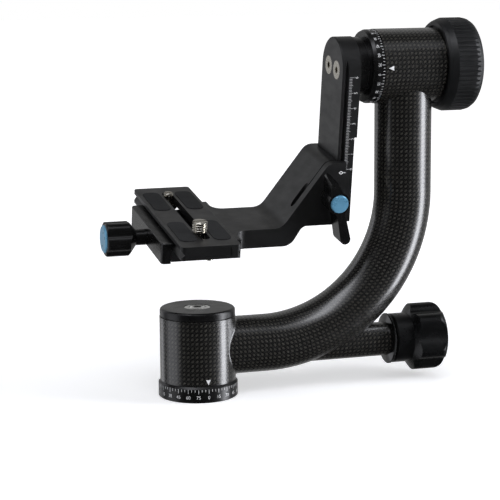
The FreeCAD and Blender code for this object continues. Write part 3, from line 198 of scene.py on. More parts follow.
# ---------------------------------------------------------------- carbon tube
TOW = 2.0 * MM               # width of one tow
CROWN = 4.6                  # how much faster a tow falls off across than along
WEAVE_DRIFT = 0.25           # how far the lattice wanders, in cells
FIBRES = 22.0                # fibre streaks across one tow
# Painted sheen: the tows over are a lit copy of the tows under, and the fibre streaks are painted glints, lighter
# on the tows over.
TOW_UNDER_SHADED = (0.005, 0.0049, 0.0045, 1)
TOW_OVER_LIT = (0.016, 0.0155, 0.0135, 1)
FIBRE_GLINT_UNDER = (0.022, 0.021, 0.018, 1)
FIBRE_GLINT_OVER = (0.088, 0.083, 0.069, 1)


def weave(name, radius, unroll):
    """Plain weave laid at 45 degrees under clear resin, with painted sheen on the tows and painted shade between
    them. unroll gives the angle round and the way along.
    """
    graph = Graph(name)
    x, y, z = graph.axes(graph.place())
    angle, way = unroll(graph, x, y, z)
    diagonal = TOW * math.sqrt(2)
    repeats = round(2 * math.pi * radius / diagonal)
    around = graph.calc("MULTIPLY", angle, repeats / (2 * math.pi))
    along = graph.calc("MULTIPLY", way, 1 / diagonal)
    drift = graph.noise(graph.vector(around, along, 0.0), 0.35, 1.0)
    along = graph.calc("MULTIPLY_ADD", drift, WEAVE_DRIFT, along)
    first = graph.calc("ADD", around, along)
    second = graph.calc("SUBTRACT", around, along)
    cell_first = graph.calc("FLOOR", first)
    cell_second = graph.calc("FLOOR", second)
    part_first = graph.calc("SUBTRACT", graph.calc("SUBTRACT", first, cell_first), 0.5)
    part_second = graph.calc("SUBTRACT", graph.calc("SUBTRACT", second, cell_second), 0.5)
    over = graph.calc("FLOORED_MODULO", graph.calc("ADD", cell_first, cell_second), 2.0)

    square_first = graph.calc("MULTIPLY", part_first, part_first)
    square_second = graph.calc("MULTIPLY", part_second, part_second)
    fall_first = graph.calc("MULTIPLY_ADD", square_second, CROWN, square_first)
    fall_second = graph.calc("MULTIPLY_ADD", square_first, CROWN, square_second)
    height = graph.either(over, graph.calc("SUBTRACT", 1.0, fall_first), graph.calc("SUBTRACT", 1.0, fall_second))
    long_first = graph.calc("MULTIPLY", first, 1.2)
    long_second = graph.calc("MULTIPLY", second, 1.2)
    fine_first = graph.calc("MULTIPLY", first, FIBRES)
    fine_second = graph.calc("MULTIPLY", second, FIBRES)
    fibres = graph.either(over, graph.noise(graph.vector(long_first, fine_second, 0.0), 1.0, 3.0),
                          graph.noise(graph.vector(fine_first, long_second, 4.0), 1.0, 3.0))

    tone = graph.noise(graph.vector(cell_first, cell_second, 0.0), 3.7, 1.0)
    # Painted sheen: fibre streaks painted as glints over the tow colour, the tows over painted lighter than the
    # tows under.
    colour = graph.blend(graph.span(fibres, 0.3, 0.72, 0.0, 1.0), graph.blend(over, TOW_UNDER_SHADED, TOW_OVER_LIT),
                         graph.blend(over, FIBRE_GLINT_UNDER, FIBRE_GLINT_OVER))
    colour = graph.blend(graph.span(tone, 0.35, 0.65, 0.0, 0.4), colour, grey(0.003))
    # Painted shade: each tow darkened towards its edges and in the gaps between tows, so only its crown keeps the
    # painted highlight.
    colour = graph.blend(graph.span(height, 0.30, 0.72, 1.0, 0.0), colour, grey(0.001))

    relief = graph.bump(graph.calc("MULTIPLY_ADD", fibres, 0.10, height), 0.06 * MM)
    smear = graph.noise(graph.place(), 60.0, 4.0)
    scratch = graph.noise(graph.stretch(graph.place(), (900, 60, 60)), 1.0, 2.0)
    ripple = graph.bump(graph.noise(graph.place(), 120.0, 1.0), 0.010 * MM)
    gloss = graph.calc("ADD", graph.span(smear, 0.35, 0.7, 0.17, 0.24), graph.span(scratch, 0.62, 0.8, 0.0, 0.05))
    return graph.finish(Base_Color=colour, Metallic=0.35, Roughness=graph.spread(fibres, 0.44, 0.36),
                        Normal=relief, Specular_IOR_Level=0.3,
                        Coat_Weight=1.0, Coat_Roughness=gloss, Coat_IOR=1.75, Coat_Normal=ripple)


def sleeve_unrolled(graph, x, y, z):
    return graph.calc("ARCTAN2", y, x), z


def barrel_unrolled(graph, x, y, z):
    return graph.calc("ARCTAN2", y, graph.calc("SUBTRACT", z, TILT_Z)), x


def stub_unrolled(graph, x, y, z):
    return graph.calc("ARCTAN2", y, graph.calc("SUBTRACT", z, STUB_Z)), x


def elbow_unrolled(graph, x, y, z):
    """Level stretch, quarter bend and upright stretch in one: angle round the axis and distance along it."""
    past = graph.calc("SUBTRACT", x, BEND_X)
    below = graph.calc("SUBTRACT", BEND_Z, z)
    run_x = graph.calc("MAXIMUM", past, 0.0)
    run_z = graph.calc("MAXIMUM", below, 0.0)
    turn = graph.calc("ARCTAN2", run_x, run_z)
    reach = graph.calc("SQRT", graph.calc("MULTIPLY_ADD", run_x, run_x, graph.calc("MULTIPLY", run_z, run_z)))
    angle = graph.calc("ARCTAN2", y, graph.calc("SUBTRACT", reach, BEND_R))
    straight = graph.calc("SUBTRACT", graph.calc("MINIMUM", past, 0.0), graph.calc("MINIMUM", below, 0.0))
    return angle, graph.calc("MULTIPLY_ADD", turn, BEND_R, straight)


# ---------------------------------------------------------------- metal, rubber and paint
def anodised(name, low, high, rough_low, rough_high, grain=0.006):
    """Bead-blasted anodised aluminium: fine grain, cloudy tone, edges painted a little brighter as an edge
    highlight, broken up by noise.
    """
    graph = Graph(name)
    place = graph.place()
    cloud = graph.noise(place, 45.0, 5.0)
    speck = graph.noise(place, 5200.0, 2.0)
    pits = graph.cells(place, 3600.0)
    # Painted edge highlight along the sharp edges, broken up by noise.
    edge_sheen_mask = graph.calc("MULTIPLY", graph.edges(), graph.span(graph.noise(place, 300.0, 4.0), 0.4, 0.7, 0.0, 1.0))
    colour = graph.blend(graph.spread(cloud, 0.0, 1.0), grey(low), grey(high))
    colour = graph.blend(graph.span(speck, 0.35, 0.75, 0.0, 0.35), colour, grey(high * 2.2))
    colour = graph.blend(graph.calc("MULTIPLY", edge_sheen_mask, 0.5), colour, EDGE_SHEEN)
    smudge = graph.noise(graph.stretch(place, (1, 1, 2.5)), 80.0, 4.0)
    rough = graph.spread(smudge, rough_low, rough_high)
    relief = graph.bump(graph.calc("MULTIPLY_ADD", pits, 0.6, speck), grain * MM)
    return graph.finish(Base_Color=colour, Metallic=0.0, Roughness=rough, Normal=relief, Specular_IOR_Level=0.5)


def turned(name, low, high, axis, rough_low, rough_high):
    """Anodised over a turned surface: faint rings round the axis ("X" or "Z") as well as the grain."""
    graph = Graph(name)
    place = graph.place()
    x, y, z = graph.axes(place)
    off, way = (graph.calc("SUBTRACT", z, TILT_Z), x) if axis == "X" else (x, z)
    radius = graph.calc("SQRT", graph.calc("MULTIPLY_ADD", y, y, graph.calc("MULTIPLY", off, off)))
    across = graph.calc("MULTIPLY", radius, GROOVES)
    along = graph.calc("MULTIPLY", way, GROOVES)
    rings = graph.noise(graph.vector(across, along, 0.0), 1.0, 2.0)
    cloud = graph.noise(place, 60.0, 4.0)
    grain = graph.noise(place, 5200.0, 2.0)
    colour = graph.blend(graph.spread(cloud, 0.0, 1.0), grey(low), grey(high))
    colour = graph.blend(graph.span(rings, 0.45, 0.75, 0.0, 0.4), colour, grey(high * 1.8))
    # Painted edge highlight along the sharp edges.
    colour = graph.blend(graph.calc("MULTIPLY", graph.edges(), 0.4), colour, EDGE_SHEEN)
    rough = graph.spread(graph.noise(place, 90.0, 4.0), rough_low, rough_high)
    relief = graph.bump(graph.calc("MULTIPLY_ADD", rings, 1.2, grain), 0.004 * MM)
    return graph.finish(Base_Color=colour, Metallic=0.0, Roughness=rough, Normal=relief, Specular_IOR_Level=0.5)


def machined(name, tint, rough_low, rough_high, dirt_share=0.35):
    """Bare turned metal with tool marks, handling haze and a few dark specks."""
    graph = Graph(name)
    place = graph.place()
    lines = graph.noise(graph.stretch(place, (300, 300, 6000)), 1.0, 3.0)
    haze = graph.noise(place, 400.0, 5.0)
    dirt = graph.noise(place, 900.0, 3.0)
    darker = tuple(c * 0.6 for c in tint[:3]) + (1.0,)
    colour = graph.blend(graph.span(haze, 0.35, 0.7, 0.0, 0.4), tint, darker)
    colour = graph.blend(graph.span(dirt, 0.62, 0.75, 0.0, dirt_share), colour, grey(0.05))
    rough = graph.calc("ADD", graph.spread(haze, rough_low, rough_high), graph.span(lines, 0.4, 0.7, 0.0, 0.08))
    return graph.finish(Base_Color=colour, Metallic=1.0, Roughness=rough, Normal=graph.bump(lines, 0.006 * MM))


def rubber(name, low, high, rough_low, rough_high, grain):
    """Moulded rubber: dull, finely pebbled, with patches of pale dust."""
    graph = Graph(name)
    place = graph.place()
    pebble = graph.cells(place, 2600.0)
    cloud = graph.noise(place, 70.0, 5.0)
    dust = graph.calc("MULTIPLY", graph.span(graph.noise(place, 500.0, 4.0), 0.5, 0.75, 0.0, 1.0), 0.35)
    colour = graph.blend(graph.spread(cloud, 0.0, 1.0), grey(low, -0.06), grey(high, -0.06))
    colour = graph.blend(dust, colour, grey(high * 1.7))
    rough = graph.spread(cloud, rough_low, rough_high)
    return graph.finish(Base_Color=colour, Metallic=0.0, Roughness=rough, Normal=graph.bump(pebble, grain * MM),
                        Specular_IOR_Level=0.45)


def blue_anodised(name):
    """Blue anodised caps with a fine grain and a satin gloss."""
    graph = Graph(name)
    place = graph.place()
    grain = graph.noise(place, 4200.0, 2.0)
    cloud = graph.noise(place, 160.0, 4.0)
    colour = graph.blend(graph.spread(cloud, 0.0, 1.0), (0.110, 0.315, 0.480, 1), (0.155, 0.400, 0.590, 1))
    colour = graph.blend(graph.span(grain, 0.45, 0.8, 0.0, 0.35), colour, (0.27, 0.47, 0.62, 1))
    rough = graph.spread(cloud, 0.26, 0.36)
    return graph.finish(Base_Color=colour, Metallic=0.35, Roughness=rough, Normal=graph.bump(grain, 0.004 * MM))


def paint(name):
    """White paint filled into engraving, a little uneven."""
    graph = Graph(name)
    cloud = graph.noise(graph.place(), 900.0, 4.0)
    colour = graph.blend(graph.spread(cloud, 0.0, 1.0), grey(0.70), grey(0.88))
    return graph.finish(Base_Color=colour, Roughness=graph.spread(cloud, 0.5, 0.65),
                        Normal=graph.bump(cloud, 0.01 * MM))


finishes = {
    "sleeve": weave("carbon_sleeve", SLEEVE_R, sleeve_unrolled),
    "barrel": weave("carbon_barrel", BARREL_R, barrel_unrolled),
    "elbow": weave("carbon_elbow", TUBE_R, elbow_unrolled),
    "stub": weave("carbon_stub", STUB_R, stub_unrolled),
    "black": anodised("black_anodised_blasted", 0.0035, 0.006, 0.34, 0.46),
    "dark": anodised("black_anodised_smooth", 0.0022, 0.004, 0.20, 0.28),
    "gloss": anodised("black_anodised_polished", 0.0018, 0.003, 0.12, 0.18, grain=0.002),
    "turned_z": turned("black_anodised_turned_z", 0.0022, 0.004, "Z", 0.24, 0.34),
    "turned_x": turned("black_anodised_turned_x", 0.0022, 0.004, "X", 0.22, 0.32),
    "steel": machined("stainless_steel", (0.66, 0.63, 0.56, 1), 0.16, 0.30),
    "spun": machined("spun_steel", (0.92, 0.92, 0.90, 1), 0.10, 0.18, dirt_share=0.10),
    "bearing": machined("bearing_steel", (0.55, 0.55, 0.56, 1), 0.12, 0.20, dirt_share=0.10),
    "bare": machined("bare_aluminium", (0.66, 0.66, 0.67, 1), 0.3, 0.45),
    "brass": machined("brass_shoe", (0.62, 0.45, 0.20, 1), 0.25, 0.4),
    "rubber": rubber("knob_rubber_moulded", 0.004, 0.007, 0.36, 0.48, 0.020),
    "plastic": rubber("knob_plastic_moulded", 0.0018, 0.003, 0.22, 0.32, 0.006),
    "pad": rubber("pad_rubber_ribbed", 0.007, 0.010, 0.66, 0.80, 0.030),
    "lining": rubber("friction_lining_pressed", 0.05, 0.08, 0.7, 0.85, 0.03),
    "blue": blue_anodised("blue_anodised_satin"),
    "white": paint("white_engraving_paint"),
}

# Finish of each material slot of the part.
SLOT_FINISH = {
    "carbon": "sleeve", "black_anodised": "black", "bare_aluminium": "bare", "steel": "steel",
    "bearing_steel": "bearing", "brass": "brass", "friction_lining": "lining", "knob_rubber": "rubber",
    "blue_anodised": "blue", "pad_rubber": "pad",
}
# Nodes whose finish isn't the usual one of their slot.
NODE_FINISH = {
    "tilt_barrel": "barrel", "elbow_tube": "elbow", "lock_stub": "stub", "pan_dial": "turned_z",
    "top_cap": "turned_z", "tilt_dial": "turned_x", "tilt_shaft": "turned_x", "tilt_knob_cap": "turned_x",
    "lock_collar": "gloss", "lock_knob": "plastic", "lock_knob_cap": "dark", "qr_knob": "dark", "qr_jaw": "dark",
    "cradle_lever": "dark",
}


def dress(name, node):
    """Give a node its finish in every slot."""
    for held in node.material_slots:
        slot = held.material.name.split(".")[0]
        held.material = finishes[NODE_FINISH.get(name, SLOT_FINISH.get(slot, "black"))]


for node_name, node_object in nodes.items():
    dress(node_name, node_object)


# ---------------------------------------------------------------- small round on the hard edges of the metal
EDGE_ROUNDS_MM = {
    "cradle": 0.30, "quick_plate": 0.18, "riser": 0.15, "qr_jaw": 0.25, "cradle_lever": 0.35, "lock_collar": 0.7,
}


def round_edges(node, width):
    weld = node.modifiers.new("weld", "WELD")
    weld.merge_threshold = 0.002 * MM
    rounder = node.modifiers.new("edge_round", "BEVEL")
    rounder.width = width
    rounder.segments = 2
    rounder.limit_method = "ANGLE"
    rounder.angle_limit = math.radians(38)
    rounder.use_clamp_overlap = True
    flatter = node.modifiers.new("flat_faces", "WEIGHTED_NORMAL")
    flatter.weight = 100
    flatter.keep_sharp = True


for node_name, edge_width in EDGE_ROUNDS_MM.items():
    round_edges(nodes[node_name], edge_width * MM)


# ---------------------------------------------------------------- meshes in code
def piece(name, mesh, finish, body):
    made = bpy.data.objects.new(name, mesh)
    bpy.context.collection.objects.link(made)
    mesh.materials.clear()
    mesh.materials.append(finishes[finish])
    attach(made, body)
    return made


def mesh_from(name, points, faces):
    mesh = bpy.data.meshes.new(name)
    mesh.from_pydata([tuple(p) for p in points], [], faces)
    mesh.update()
    return mesh


def tilted(point):
    """A point of the hanging group drawn straight, turned about the tilt axis to where it rests."""
    turn = math.radians(TILT_REST)
    y, z = point[1], point[2] - TILT_Z
    return Vector((point[0], y * math.cos(turn) - z * math.sin(turn),
                   y * math.sin(turn) + z * math.cos(turn) + TILT_Z))


# ---------------------------------------------------------------- painted scales
MARK_PROUD = 0.04 * MM       # paint above the metal
MARK_HALF_W = 0.13 * MM      # of the dials' marks
DIAL_STEP = 5                # degrees between the dials' marks
DIAL_QUARTER = 90            # degrees after which the numbers start again
FRONT = -math.pi / 2


class Marks:
    """Flat painted marks gathered in one mesh. Each is drawn in its own plane and laid by a function."""

    def __init__(self):
        self.points = []
        self.faces = []

    def add(self, outline, lay):
        start = len(self.points)
        self.points.extend(lay(x, y) for x, y in outline)
        self.faces.append(tuple(range(start, start + len(outline))))

    def bar(self, x0, x1, y0, y1, lay):
        self.add([(x0, y0), (x1, y0), (x1, y1), (x0, y1)], lay)

    def ring(self, outer, inner, lay):
        for i in range(len(outer)):
            j = (i + 1) % len(outer)
            self.add([outer[i], outer[j], inner[j], inner[i]], lay)

    def text(self, words, size, x, y, lay):
        curve = bpy.data.curves.new("label", "FONT")
        curve.body = words
        curve.size = size
        curve.align_x = "CENTER"
        curve.resolution_u = 3
        holder = bpy.data.objects.new("label", curve)
        drawn = bpy.data.meshes.new_from_object(holder)
        start = len(self.points)
        self.points.extend(lay(x + v.co.x, y + v.co.y) for v in drawn.vertices)
        self.faces.extend(tuple(start + i for i in face.vertices) for face in drawn.polygons)
        bpy.data.objects.remove(holder)
        bpy.data.curves.remove(curve)
        bpy.data.meshes.remove(drawn)

    def made(self, name, body, slot):
        return piece(name, mesh_from(name, self.points, self.faces), "white", body)


def around_z(radius, start):
    """Lays marks on an upright cylinder: right runs anticlockwise seen from above, from the angle start."""
    reach = radius + MARK_PROUD

    def lay(x, y):
        angle = start + x / radius
        return Vector((reach * math.cos(angle), reach * math.sin(angle), y))
    return lay


def around_x(radius, start, hung):
    """Lays marks on the cylinder about the tilt axis: right runs down the front, up points to +X."""
    reach = radius + MARK_PROUD

    def lay(x, y):
        angle = start + x / radius
        point = Vector((y, -reach * math.cos(angle), TILT_Z - reach * math.sin(angle)))
        return tilted(point) if hung else point
    return lay


def dial_marks(lay_at, top, long_mark, short_mark, number_size, number_y):
    """Marks each 5 degrees, longer each 15, numbered 0 to 75 four times round. lay_at gives a mark's layer."""
    marks = Marks()
    for step in range(360 // DIAL_STEP):
        lay = lay_at(math.radians(DIAL_STEP * step))
        numbered = step % 3 == 0
        marks.bar(-MARK_HALF_W, MARK_HALF_W, top - (long_mark if numbered else short_mark), top, lay)
        if numbered:
            marks.text(str(DIAL_STEP * step % DIAL_QUARTER), number_size, 0.0, number_y, lay)
    return marks


def pan_scale():
    """Scale round the pan dial, read against the triangle on the sleeve."""
    marks = dial_marks(lambda turn: around_z(DIAL_R, FRONT + turn), top=8.75 * MM, long_mark=2.7 * MM,
                       short_mark=1.6 * MM, number_size=3.0 * MM, number_y=2.6 * MM)
    return marks.made("pan_scale", "base", "black_anodised")


def tilt_scale():
    """The same scale round the tilt dial, its marks towards the barrel."""
    marks = dial_marks(lambda turn: around_x(TILT_DIAL_R, turn, True), top=118.35 * MM, long_mark=1.9 * MM,
                       short_mark=1.2 * MM, number_size=2.5 * MM, number_y=113.9 * MM)
    return marks.made("tilt_scale", "tilt", "black_anodised")


def index_marks():
    """The two white triangles that the dials are read against."""
    marks = Marks()
    half_w = 1.5 * MM
    tip, back = 11.2 * MM, 14.6 * MM
    marks.add([(-half_w, back), (0.0, tip), (half_w, back)], around_z(SLEEVE_R, FRONT))
    tip, back = 120.6 * MM, 124.2 * MM
    marks.add([(0.0, tip), (half_w, back), (-half_w, back)], around_x(BARREL_R, 0.0, False))
    return marks.made("index_marks", "arm", "carbon")


def riser_scale():
    """Centimetre scale with millimetre marks on the riser's near edge, numbered 0 to 6 upwards."""
    marks = Marks()
    zero_z = 144.0 * MM
    length = 60                  # millimetres
    inset = 4.7 * MM             # from the riser's left face to the marks
    number_inset = 10.4 * MM
    half_w = 0.08 * MM

    def lay(x, y):
        return tilted(Vector((RISER_LEFT_X - y, -RISER_HALF_W - MARK_PROUD, zero_z + x)))
    for step in range(length + 1):
        reach = (3.3 if step % 10 == 0 else 2.6 if step % 5 == 0 else 1.9) * MM
        marks.bar(step * MM - half_w, step * MM + half_w, -inset - reach, -inset, lay)
        if step % 10 == 0:
            marks.text(str(step // 10), 2.8 * MM, step * MM, -number_inset, lay)
    return marks.made("riser_scale", "tilt", "black_anodised")


def height_pointer():
    """Diamond pointer on the cradle's near lip."""
    marks = Marks()
    at_x, at_z = 92.6 * MM, 143.2 * MM

    def lay(x, y):
        return tilted(Vector((at_x + x, -CRADLE_HALF_W - MARK_PROUD, at_z + y)))

    def diamond(half_w, half_h):
        return [(-half_w, 0), (0, -half_h), (half_w, 0), (0, half_h)]
    marks.ring(diamond(1.7 * MM, 1.3 * MM), diamond(0.9 * MM, 0.65 * MM), lay)
    marks.bar(1.6 * MM, 3.0 * MM, -0.2 * MM, 0.2 * MM, lay)
    return marks.made("height_pointer", "cradle", "black_anodised")


pan_scale()
tilt_scale()
index_marks()
riser_scale()
height_pointer()


# ---------------------------------------------------------------- camera screws and the lid's disc
def lathe(name, rings, steps, centre, lay, radius_at=lambda radius, angle, z: radius):
    """Closed turned solid from (radius, z) rings; radius_at may change a ring's radius round the turn."""
    points = [Vector((centre[0], centre[1], rings[0][1]))]
    for radius, z in rings:
        for step in range(steps):
            angle = 2 * math.pi * step / steps
            reach = radius_at(radius, angle, z)
            points.append(Vector((centre[0] + reach * math.cos(angle), centre[1] + reach * math.sin(angle), z)))
    points.append(Vector((centre[0], centre[1], rings[-1][1])))
    faces = []
    for step in range(steps):
        after = (step + 1) % steps
        faces.append((0, 1 + after, 1 + step))
        for row in range(len(rings) - 1):
            low = 1 + row * steps
            faces.append((low + step, low + after, low + steps + after, low + steps + step))
        top = 1 + (len(rings) - 1) * steps
        faces.append((top + step, top + after, len(points) - 1))
    return mesh_from(name, [lay(point) for point in points], faces)


def block_mesh(name, low, high, lay):
    corners = [Vector((x, y, z)) for z in (low[2], high[2]) for x, y in
               ((low[0], low[1]), (high[0], low[1]), (high[0], high[1]), (low[0], high[1]))]
    faces = [(3, 2, 1, 0), (4, 5, 6, 7), (0, 1, 5, 4), (1, 2, 6, 5), (2, 3, 7, 6), (3, 0, 4, 7)]
    return mesh_from(name, [lay(corner) for corner in corners], faces)


def carved(name, mesh, cutters):
    """The mesh with the cutter meshes taken out of it."""
    blank = bpy.data.objects.new(name + "_blank", mesh)
    bpy.context.collection.objects.link(blank)
    tools = []
    for cutter in cutters:
        tool = bpy.data.objects.new(name + "_cutter", cutter)
        bpy.context.collection.objects.link(tool)
        cut = blank.modifiers.new("cut", "BOOLEAN")
        cut.operation = "DIFFERENCE"
        cut.solver = "EXACT"
        cut.object = tool
        tools.append(tool)
    seen = blank.evaluated_get(bpy.context.evaluated_depsgraph_get())
    result = bpy.data.meshes.new_from_object(seen)
    for used in [blank] + tools:
        bpy.data.objects.remove(used)
    result.name = name
    for face in result.polygons:
        face.use_smooth = True
    result.set_sharp_from_angle(angle=math.radians(32))
    return result


SCREW_HEAD_Z = 104.0 * MM
SCREW_HEAD_H = 2.2 * MM
SCREW_HEAD_R = 5.7 * MM
SCREW_HEAD_EDGE = 0.3 * MM
SCREW_NECK_R = 3.0 * MM
SCREW_THREAD_Z = 112.6 * MM  # where the thread starts, just above the plate
SCREW_CHAMFER = 0.5 * MM
SCREW_SLOT_HALF_W = 0.7 * MM
CREST_SHARE = 1.25           # 1 for a sharp crest, more for a flat one
THREAD_ROWS = 12             # rings of points to one turn of the thread


def camera_screw(name, radius, pitch, depth, slot_depth, y, top):
    """Screw with a flat head under the plate, a bare neck in its slot, a real helical thread and a driver slot."""
    head_top = SCREW_HEAD_Z + SCREW_HEAD_H
    rings = [(SCREW_HEAD_R - SCREW_HEAD_EDGE, SCREW_HEAD_Z), (SCREW_HEAD_R, SCREW_HEAD_Z + SCREW_HEAD_EDGE),
             (SCREW_HEAD_R, head_top - SCREW_HEAD_EDGE), (SCREW_HEAD_R - SCREW_HEAD_EDGE, head_top),
             (SCREW_NECK_R, head_top), (SCREW_NECK_R, SCREW_THREAD_Z - 0.01 * MM)]
    length = top - SCREW_THREAD_Z
    rows = math.ceil(length / (pitch / THREAD_ROWS))
    rings += [(radius, SCREW_THREAD_Z + length * row / rows) for row in range(rows + 1)]

    def thread(reach, angle, z):
        if z < SCREW_THREAD_Z:
            return reach
        phase = (z / pitch - angle / (2 * math.pi)) % 1.0
        crest = min(1.0, CREST_SHARE * abs(2 * phase - 1))
        cone = reach - SCREW_CHAMFER
        return min(reach - depth * (1 - crest), cone + (top - z), cone + (z - SCREW_THREAD_Z))
    blank = lathe(name, rings, 48, (PLATE_MIDDLE_X, y), tilted, thread)
    slot = block_mesh(name + "_slot", (PLATE_MIDDLE_X - 2 * radius, y - SCREW_SLOT_HALF_W, top - slot_depth),
                      (PLATE_MIDDLE_X + 2 * radius, y + SCREW_SLOT_HALF_W, top + 1.0 * MM), tilted)
    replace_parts(piece(name + "_threaded", carved(name, blank, [slot]), "steel", name), name)


def lid_disc():
    """Spun disc in the lid: two spanner holes and a countersunk middle."""
    top = LID_TOP_Z
    foot = top - LID_DISC_H
    groove = top - 0.12 * MM
    sunk = top - 0.5 * MM
    rings = [(LID_DISC_R, foot), (LID_DISC_R, top - 0.2 * MM), (LID_DISC_R - 0.4 * MM, top),
             (7.0 * MM, top), (6.8 * MM, groove), (6.5 * MM, groove), (6.3 * MM, top),
             (3.4 * MM, top), (2.6 * MM, sunk), (0.1 * MM, sunk)]
    blank = lathe("lid_disc", rings, 96, (0.0, 0.0), Vector)
    turn = math.radians(-17.0)
    hole_at, hole_r = 4.8 * MM, 1.1 * MM
    holes = []
    for side in (-1, 1):
        centre = (hole_at * side * math.cos(turn), hole_at * side * math.sin(turn))
        rings = [(hole_r, top - 0.6 * MM), (hole_r, top + 0.3 * MM)]
        holes.append(lathe("spanner_hole", rings, 24, centre, Vector))
    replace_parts(piece("lid_disc_spun", carved("lid_disc", blank, holes), "spun", "arm"), "cap_disc")


camera_screw("large_stud", radius=3 / 8 * INCH / 2, pitch=INCH / 16, depth=0.85 * MM, slot_depth=1.6 * MM,
             y=-33.6 * MM, top=119.4 * MM)
camera_screw("small_stud", radius=1 / 4 * INCH / 2, pitch=INCH / 20, depth=0.7 * MM, slot_depth=0.45 * MM,
             y=43.0 * MM, top=114.6 * MM)
lid_disc()


# ---------------------------------------------------------------- camera
CAMERA_AT = Vector((-0.2937696, -1.0576269, 0.2818406))
CAMERA_YAW = math.radians(17.29138)
CAMERA_PITCH = math.radians(9.75061)
CAMERA_ROLL = math.radians(-0.43982)
CAMERA_SENSOR = 36.0         # millimetres, as the lens
CAMERA_LENS = 126.58


def camera():
    """Camera from the front and a little to the left and above, level but for a slight roll."""
    ahead = Vector((math.sin(CAMERA_YAW) * math.cos(CAMERA_PITCH), math.cos(CAMERA_YAW) * math.cos(CAMERA_PITCH),
                    -math.sin(CAMERA_PITCH)))
    right = Vector((math.cos(CAMERA_YAW), -math.sin(CAMERA_YAW), 0.0))
    up = right.cross(ahead)
    rolled_right = right * math.cos(CAMERA_ROLL) + up * math.sin(CAMERA_ROLL)
    rolled_up = up * math.cos(CAMERA_ROLL) - right * math.sin(CAMERA_ROLL)
    data = bpy.data.cameras.new("camera")
    data.sensor_width = CAMERA_SENSOR
    data.lens = CAMERA_LENS
    made = bpy.data.objects.new("camera", data)
    made.matrix_world = Matrix((*zip(rolled_right, rolled_up, -ahead, CAMERA_AT), (0.0, 0.0, 0.0, 1.0)))
    bpy.context.collection.objects.link(made)
    bpy.context.scene.camera = made


# ---------------------------------------------------------------- studio
LAMP_AIM = Vector((0.07, 0.0, 0.12))
LAMP_COLOUR = (0.93, 0.945, 1.0)
LAMP_WATTS = 4.0             # to the square metre, for an area lamp of radiance 1
FLOOR_HALF = 6.0
FLOOR_DROP = 0.05 * MM       # keeps the floor clear of the dial's underside
ROOM_LEVEL = 0.03            # world's strength in front of the object, to all rays but the camera's
BACKDROP_LEVEL = 0.34        # and behind it

# Name, degrees to the right of the camera, degrees up, distance, width, height, radiance. A lamp with a halo
# behind it fades at its edges in the gloss.
GLOSS_LAMPS = [
    ("strip_right", 85, 4, 1.30, 0.42, 1.9, 4.9),
    ("strip_right_halo", 85, 4, 1.35, 0.85, 2.0, 1.2),
    ("fill_left", -80, 0, 1.40, 0.80, 2.4, 0.30),
    ("fill_left_halo", -80, 0, 1.45, 1.35, 2.4, 0.34),
    ("rim_left", -130, 0, 1.60, 0.45, 2.4, 0.50),
    ("top_left", -28, 62, 1.30, 1.00, 0.45, 2.0),
    ("top_left_halo", -28, 62, 1.35, 1.70, 1.0, 0.45),
    ("top_middle", 38, 62, 1.35, 1.30, 0.5, 0.22),
]
# These only lift the plain level, and gloss doesn't show them.
PLAIN_LAMPS = [
    ("overhead", 150, 72, 1.3, 1.2, 0.9, 0.90),
    ("room_front", 0, 22, 2.4, 3.0, 3.0, 0.65),
    ("floor_bounce", 0, -25, 2.4, 3.0, 1.5, 0.60),
]


def softbox(name, side, lift, distance, width, height, radiance):
    """Area light at side degrees to the right of the camera and lift degrees up, facing the object."""
    bearing = CAMERA_YAW - math.radians(180.0 + side)
    rise = math.radians(lift)
    away = Vector((math.sin(bearing) * math.cos(rise), math.cos(bearing) * math.cos(rise), math.sin(rise)))
    data = bpy.data.lights.new(name, "AREA")
    data.shape = "RECTANGLE"
    data.size = width
    data.size_y = height
    data.energy = LAMP_WATTS * width * height * radiance
    data.color = LAMP_COLOUR
    made = bpy.data.objects.new(name, data)
    made.location = LAMP_AIM + away * distance
    made.rotation_mode = "QUATERNION"
    made.rotation_quaternion = away.to_track_quat("Z", "Y")
    bpy.context.collection.objects.link(made)
    return made


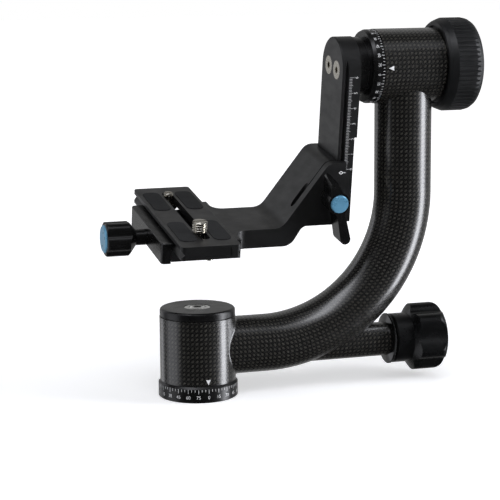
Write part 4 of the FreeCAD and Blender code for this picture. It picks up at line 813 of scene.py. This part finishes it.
def floor():
    """Pale floor that shows white and keeps the object's shadow. Gloss and lamps pass through it."""
    corners = [(x * FLOOR_HALF, y * FLOOR_HALF, 0) for x, y in ((-1, -1), (1, -1), (1, 1), (-1, 1))]
    mesh = mesh_from("floor", corners, [(0, 1, 2, 3)])
    made = bpy.data.objects.new("floor", mesh)
    made.location.z = -FLOOR_DROP
    bpy.context.collection.objects.link(made)
    graph = Graph("floor_paper")
    place = graph.place()
    tooth = graph.noise(place, 900.0, 3.0)
    colour = graph.blend(graph.spread(tooth, 0.0, 1.0), grey(0.84), grey(0.87))
    x, y, z = graph.axes(place)
    reach = graph.calc("SQRT", graph.calc("MULTIPLY_ADD", x, x, graph.calc("MULTIPLY", y, y)))
    seen = graph.node("ShaderNodeLightPath").outputs["Is Camera Ray"]
    lift = graph.calc("MULTIPLY", seen, graph.span(reach, 0.2, 1.2, 0.45, 1.0))
    graph.finish(Base_Color=colour, Roughness=0.9, Specular_IOR_Level=0.2, Normal=graph.bump(tooth, 0.02 * MM),
                 Emission_Color=(1.0, 1.0, 1.0, 1.0), Emission_Strength=lift)
    mesh.materials.append(graph.material)
    made.visible_glossy = False
    made.visible_shadow = False


def world():
    """White to the camera; to all other rays a dim backdrop behind the object and a dark room in front."""
    made = bpy.data.worlds.new("studio")
    bpy.context.scene.world = made
    made.use_nodes = True
    tree = made.node_tree
    tree.nodes.clear()
    facing = tree.nodes.new("ShaderNodeVectorMath")
    facing.operation = "DOT_PRODUCT"
    facing.inputs[1].default_value = (math.sin(CAMERA_YAW), math.cos(CAMERA_YAW), 0.0)
    tree.links.new(tree.nodes.new("ShaderNodeTexCoord").outputs["Generated"], facing.inputs[0])
    backdrop = tree.nodes.new("ShaderNodeMapRange")
    tree.links.new(facing.outputs["Value"], backdrop.inputs["Value"])
    for key, value in (("From Min", 0.4), ("From Max", 0.8), ("To Min", ROOM_LEVEL), ("To Max", BACKDROP_LEVEL)):
        backdrop.inputs[key].default_value = value
    seen = tree.nodes.new("ShaderNodeMix")
    seen.inputs[3].default_value = 1.0
    tree.links.new(tree.nodes.new("ShaderNodeLightPath").outputs["Is Camera Ray"], seen.inputs[0])
    tree.links.new(backdrop.outputs[0], seen.inputs[2])
    light = tree.nodes.new("ShaderNodeBackground")
    light.inputs["Color"].default_value = (1.0, 1.0, 1.0, 1.0)
    tree.links.new(seen.outputs[0], light.inputs["Strength"])
    tree.links.new(light.outputs[0], tree.nodes.new("ShaderNodeOutputWorld").inputs[0])


camera()
floor()
world()
for lamp in GLOSS_LAMPS:
    softbox(*lamp)
for lamp in PLAIN_LAMPS:
    softbox(*lamp).visible_glossy = False
bpy.context.scene.view_settings.view_transform = "Standard"
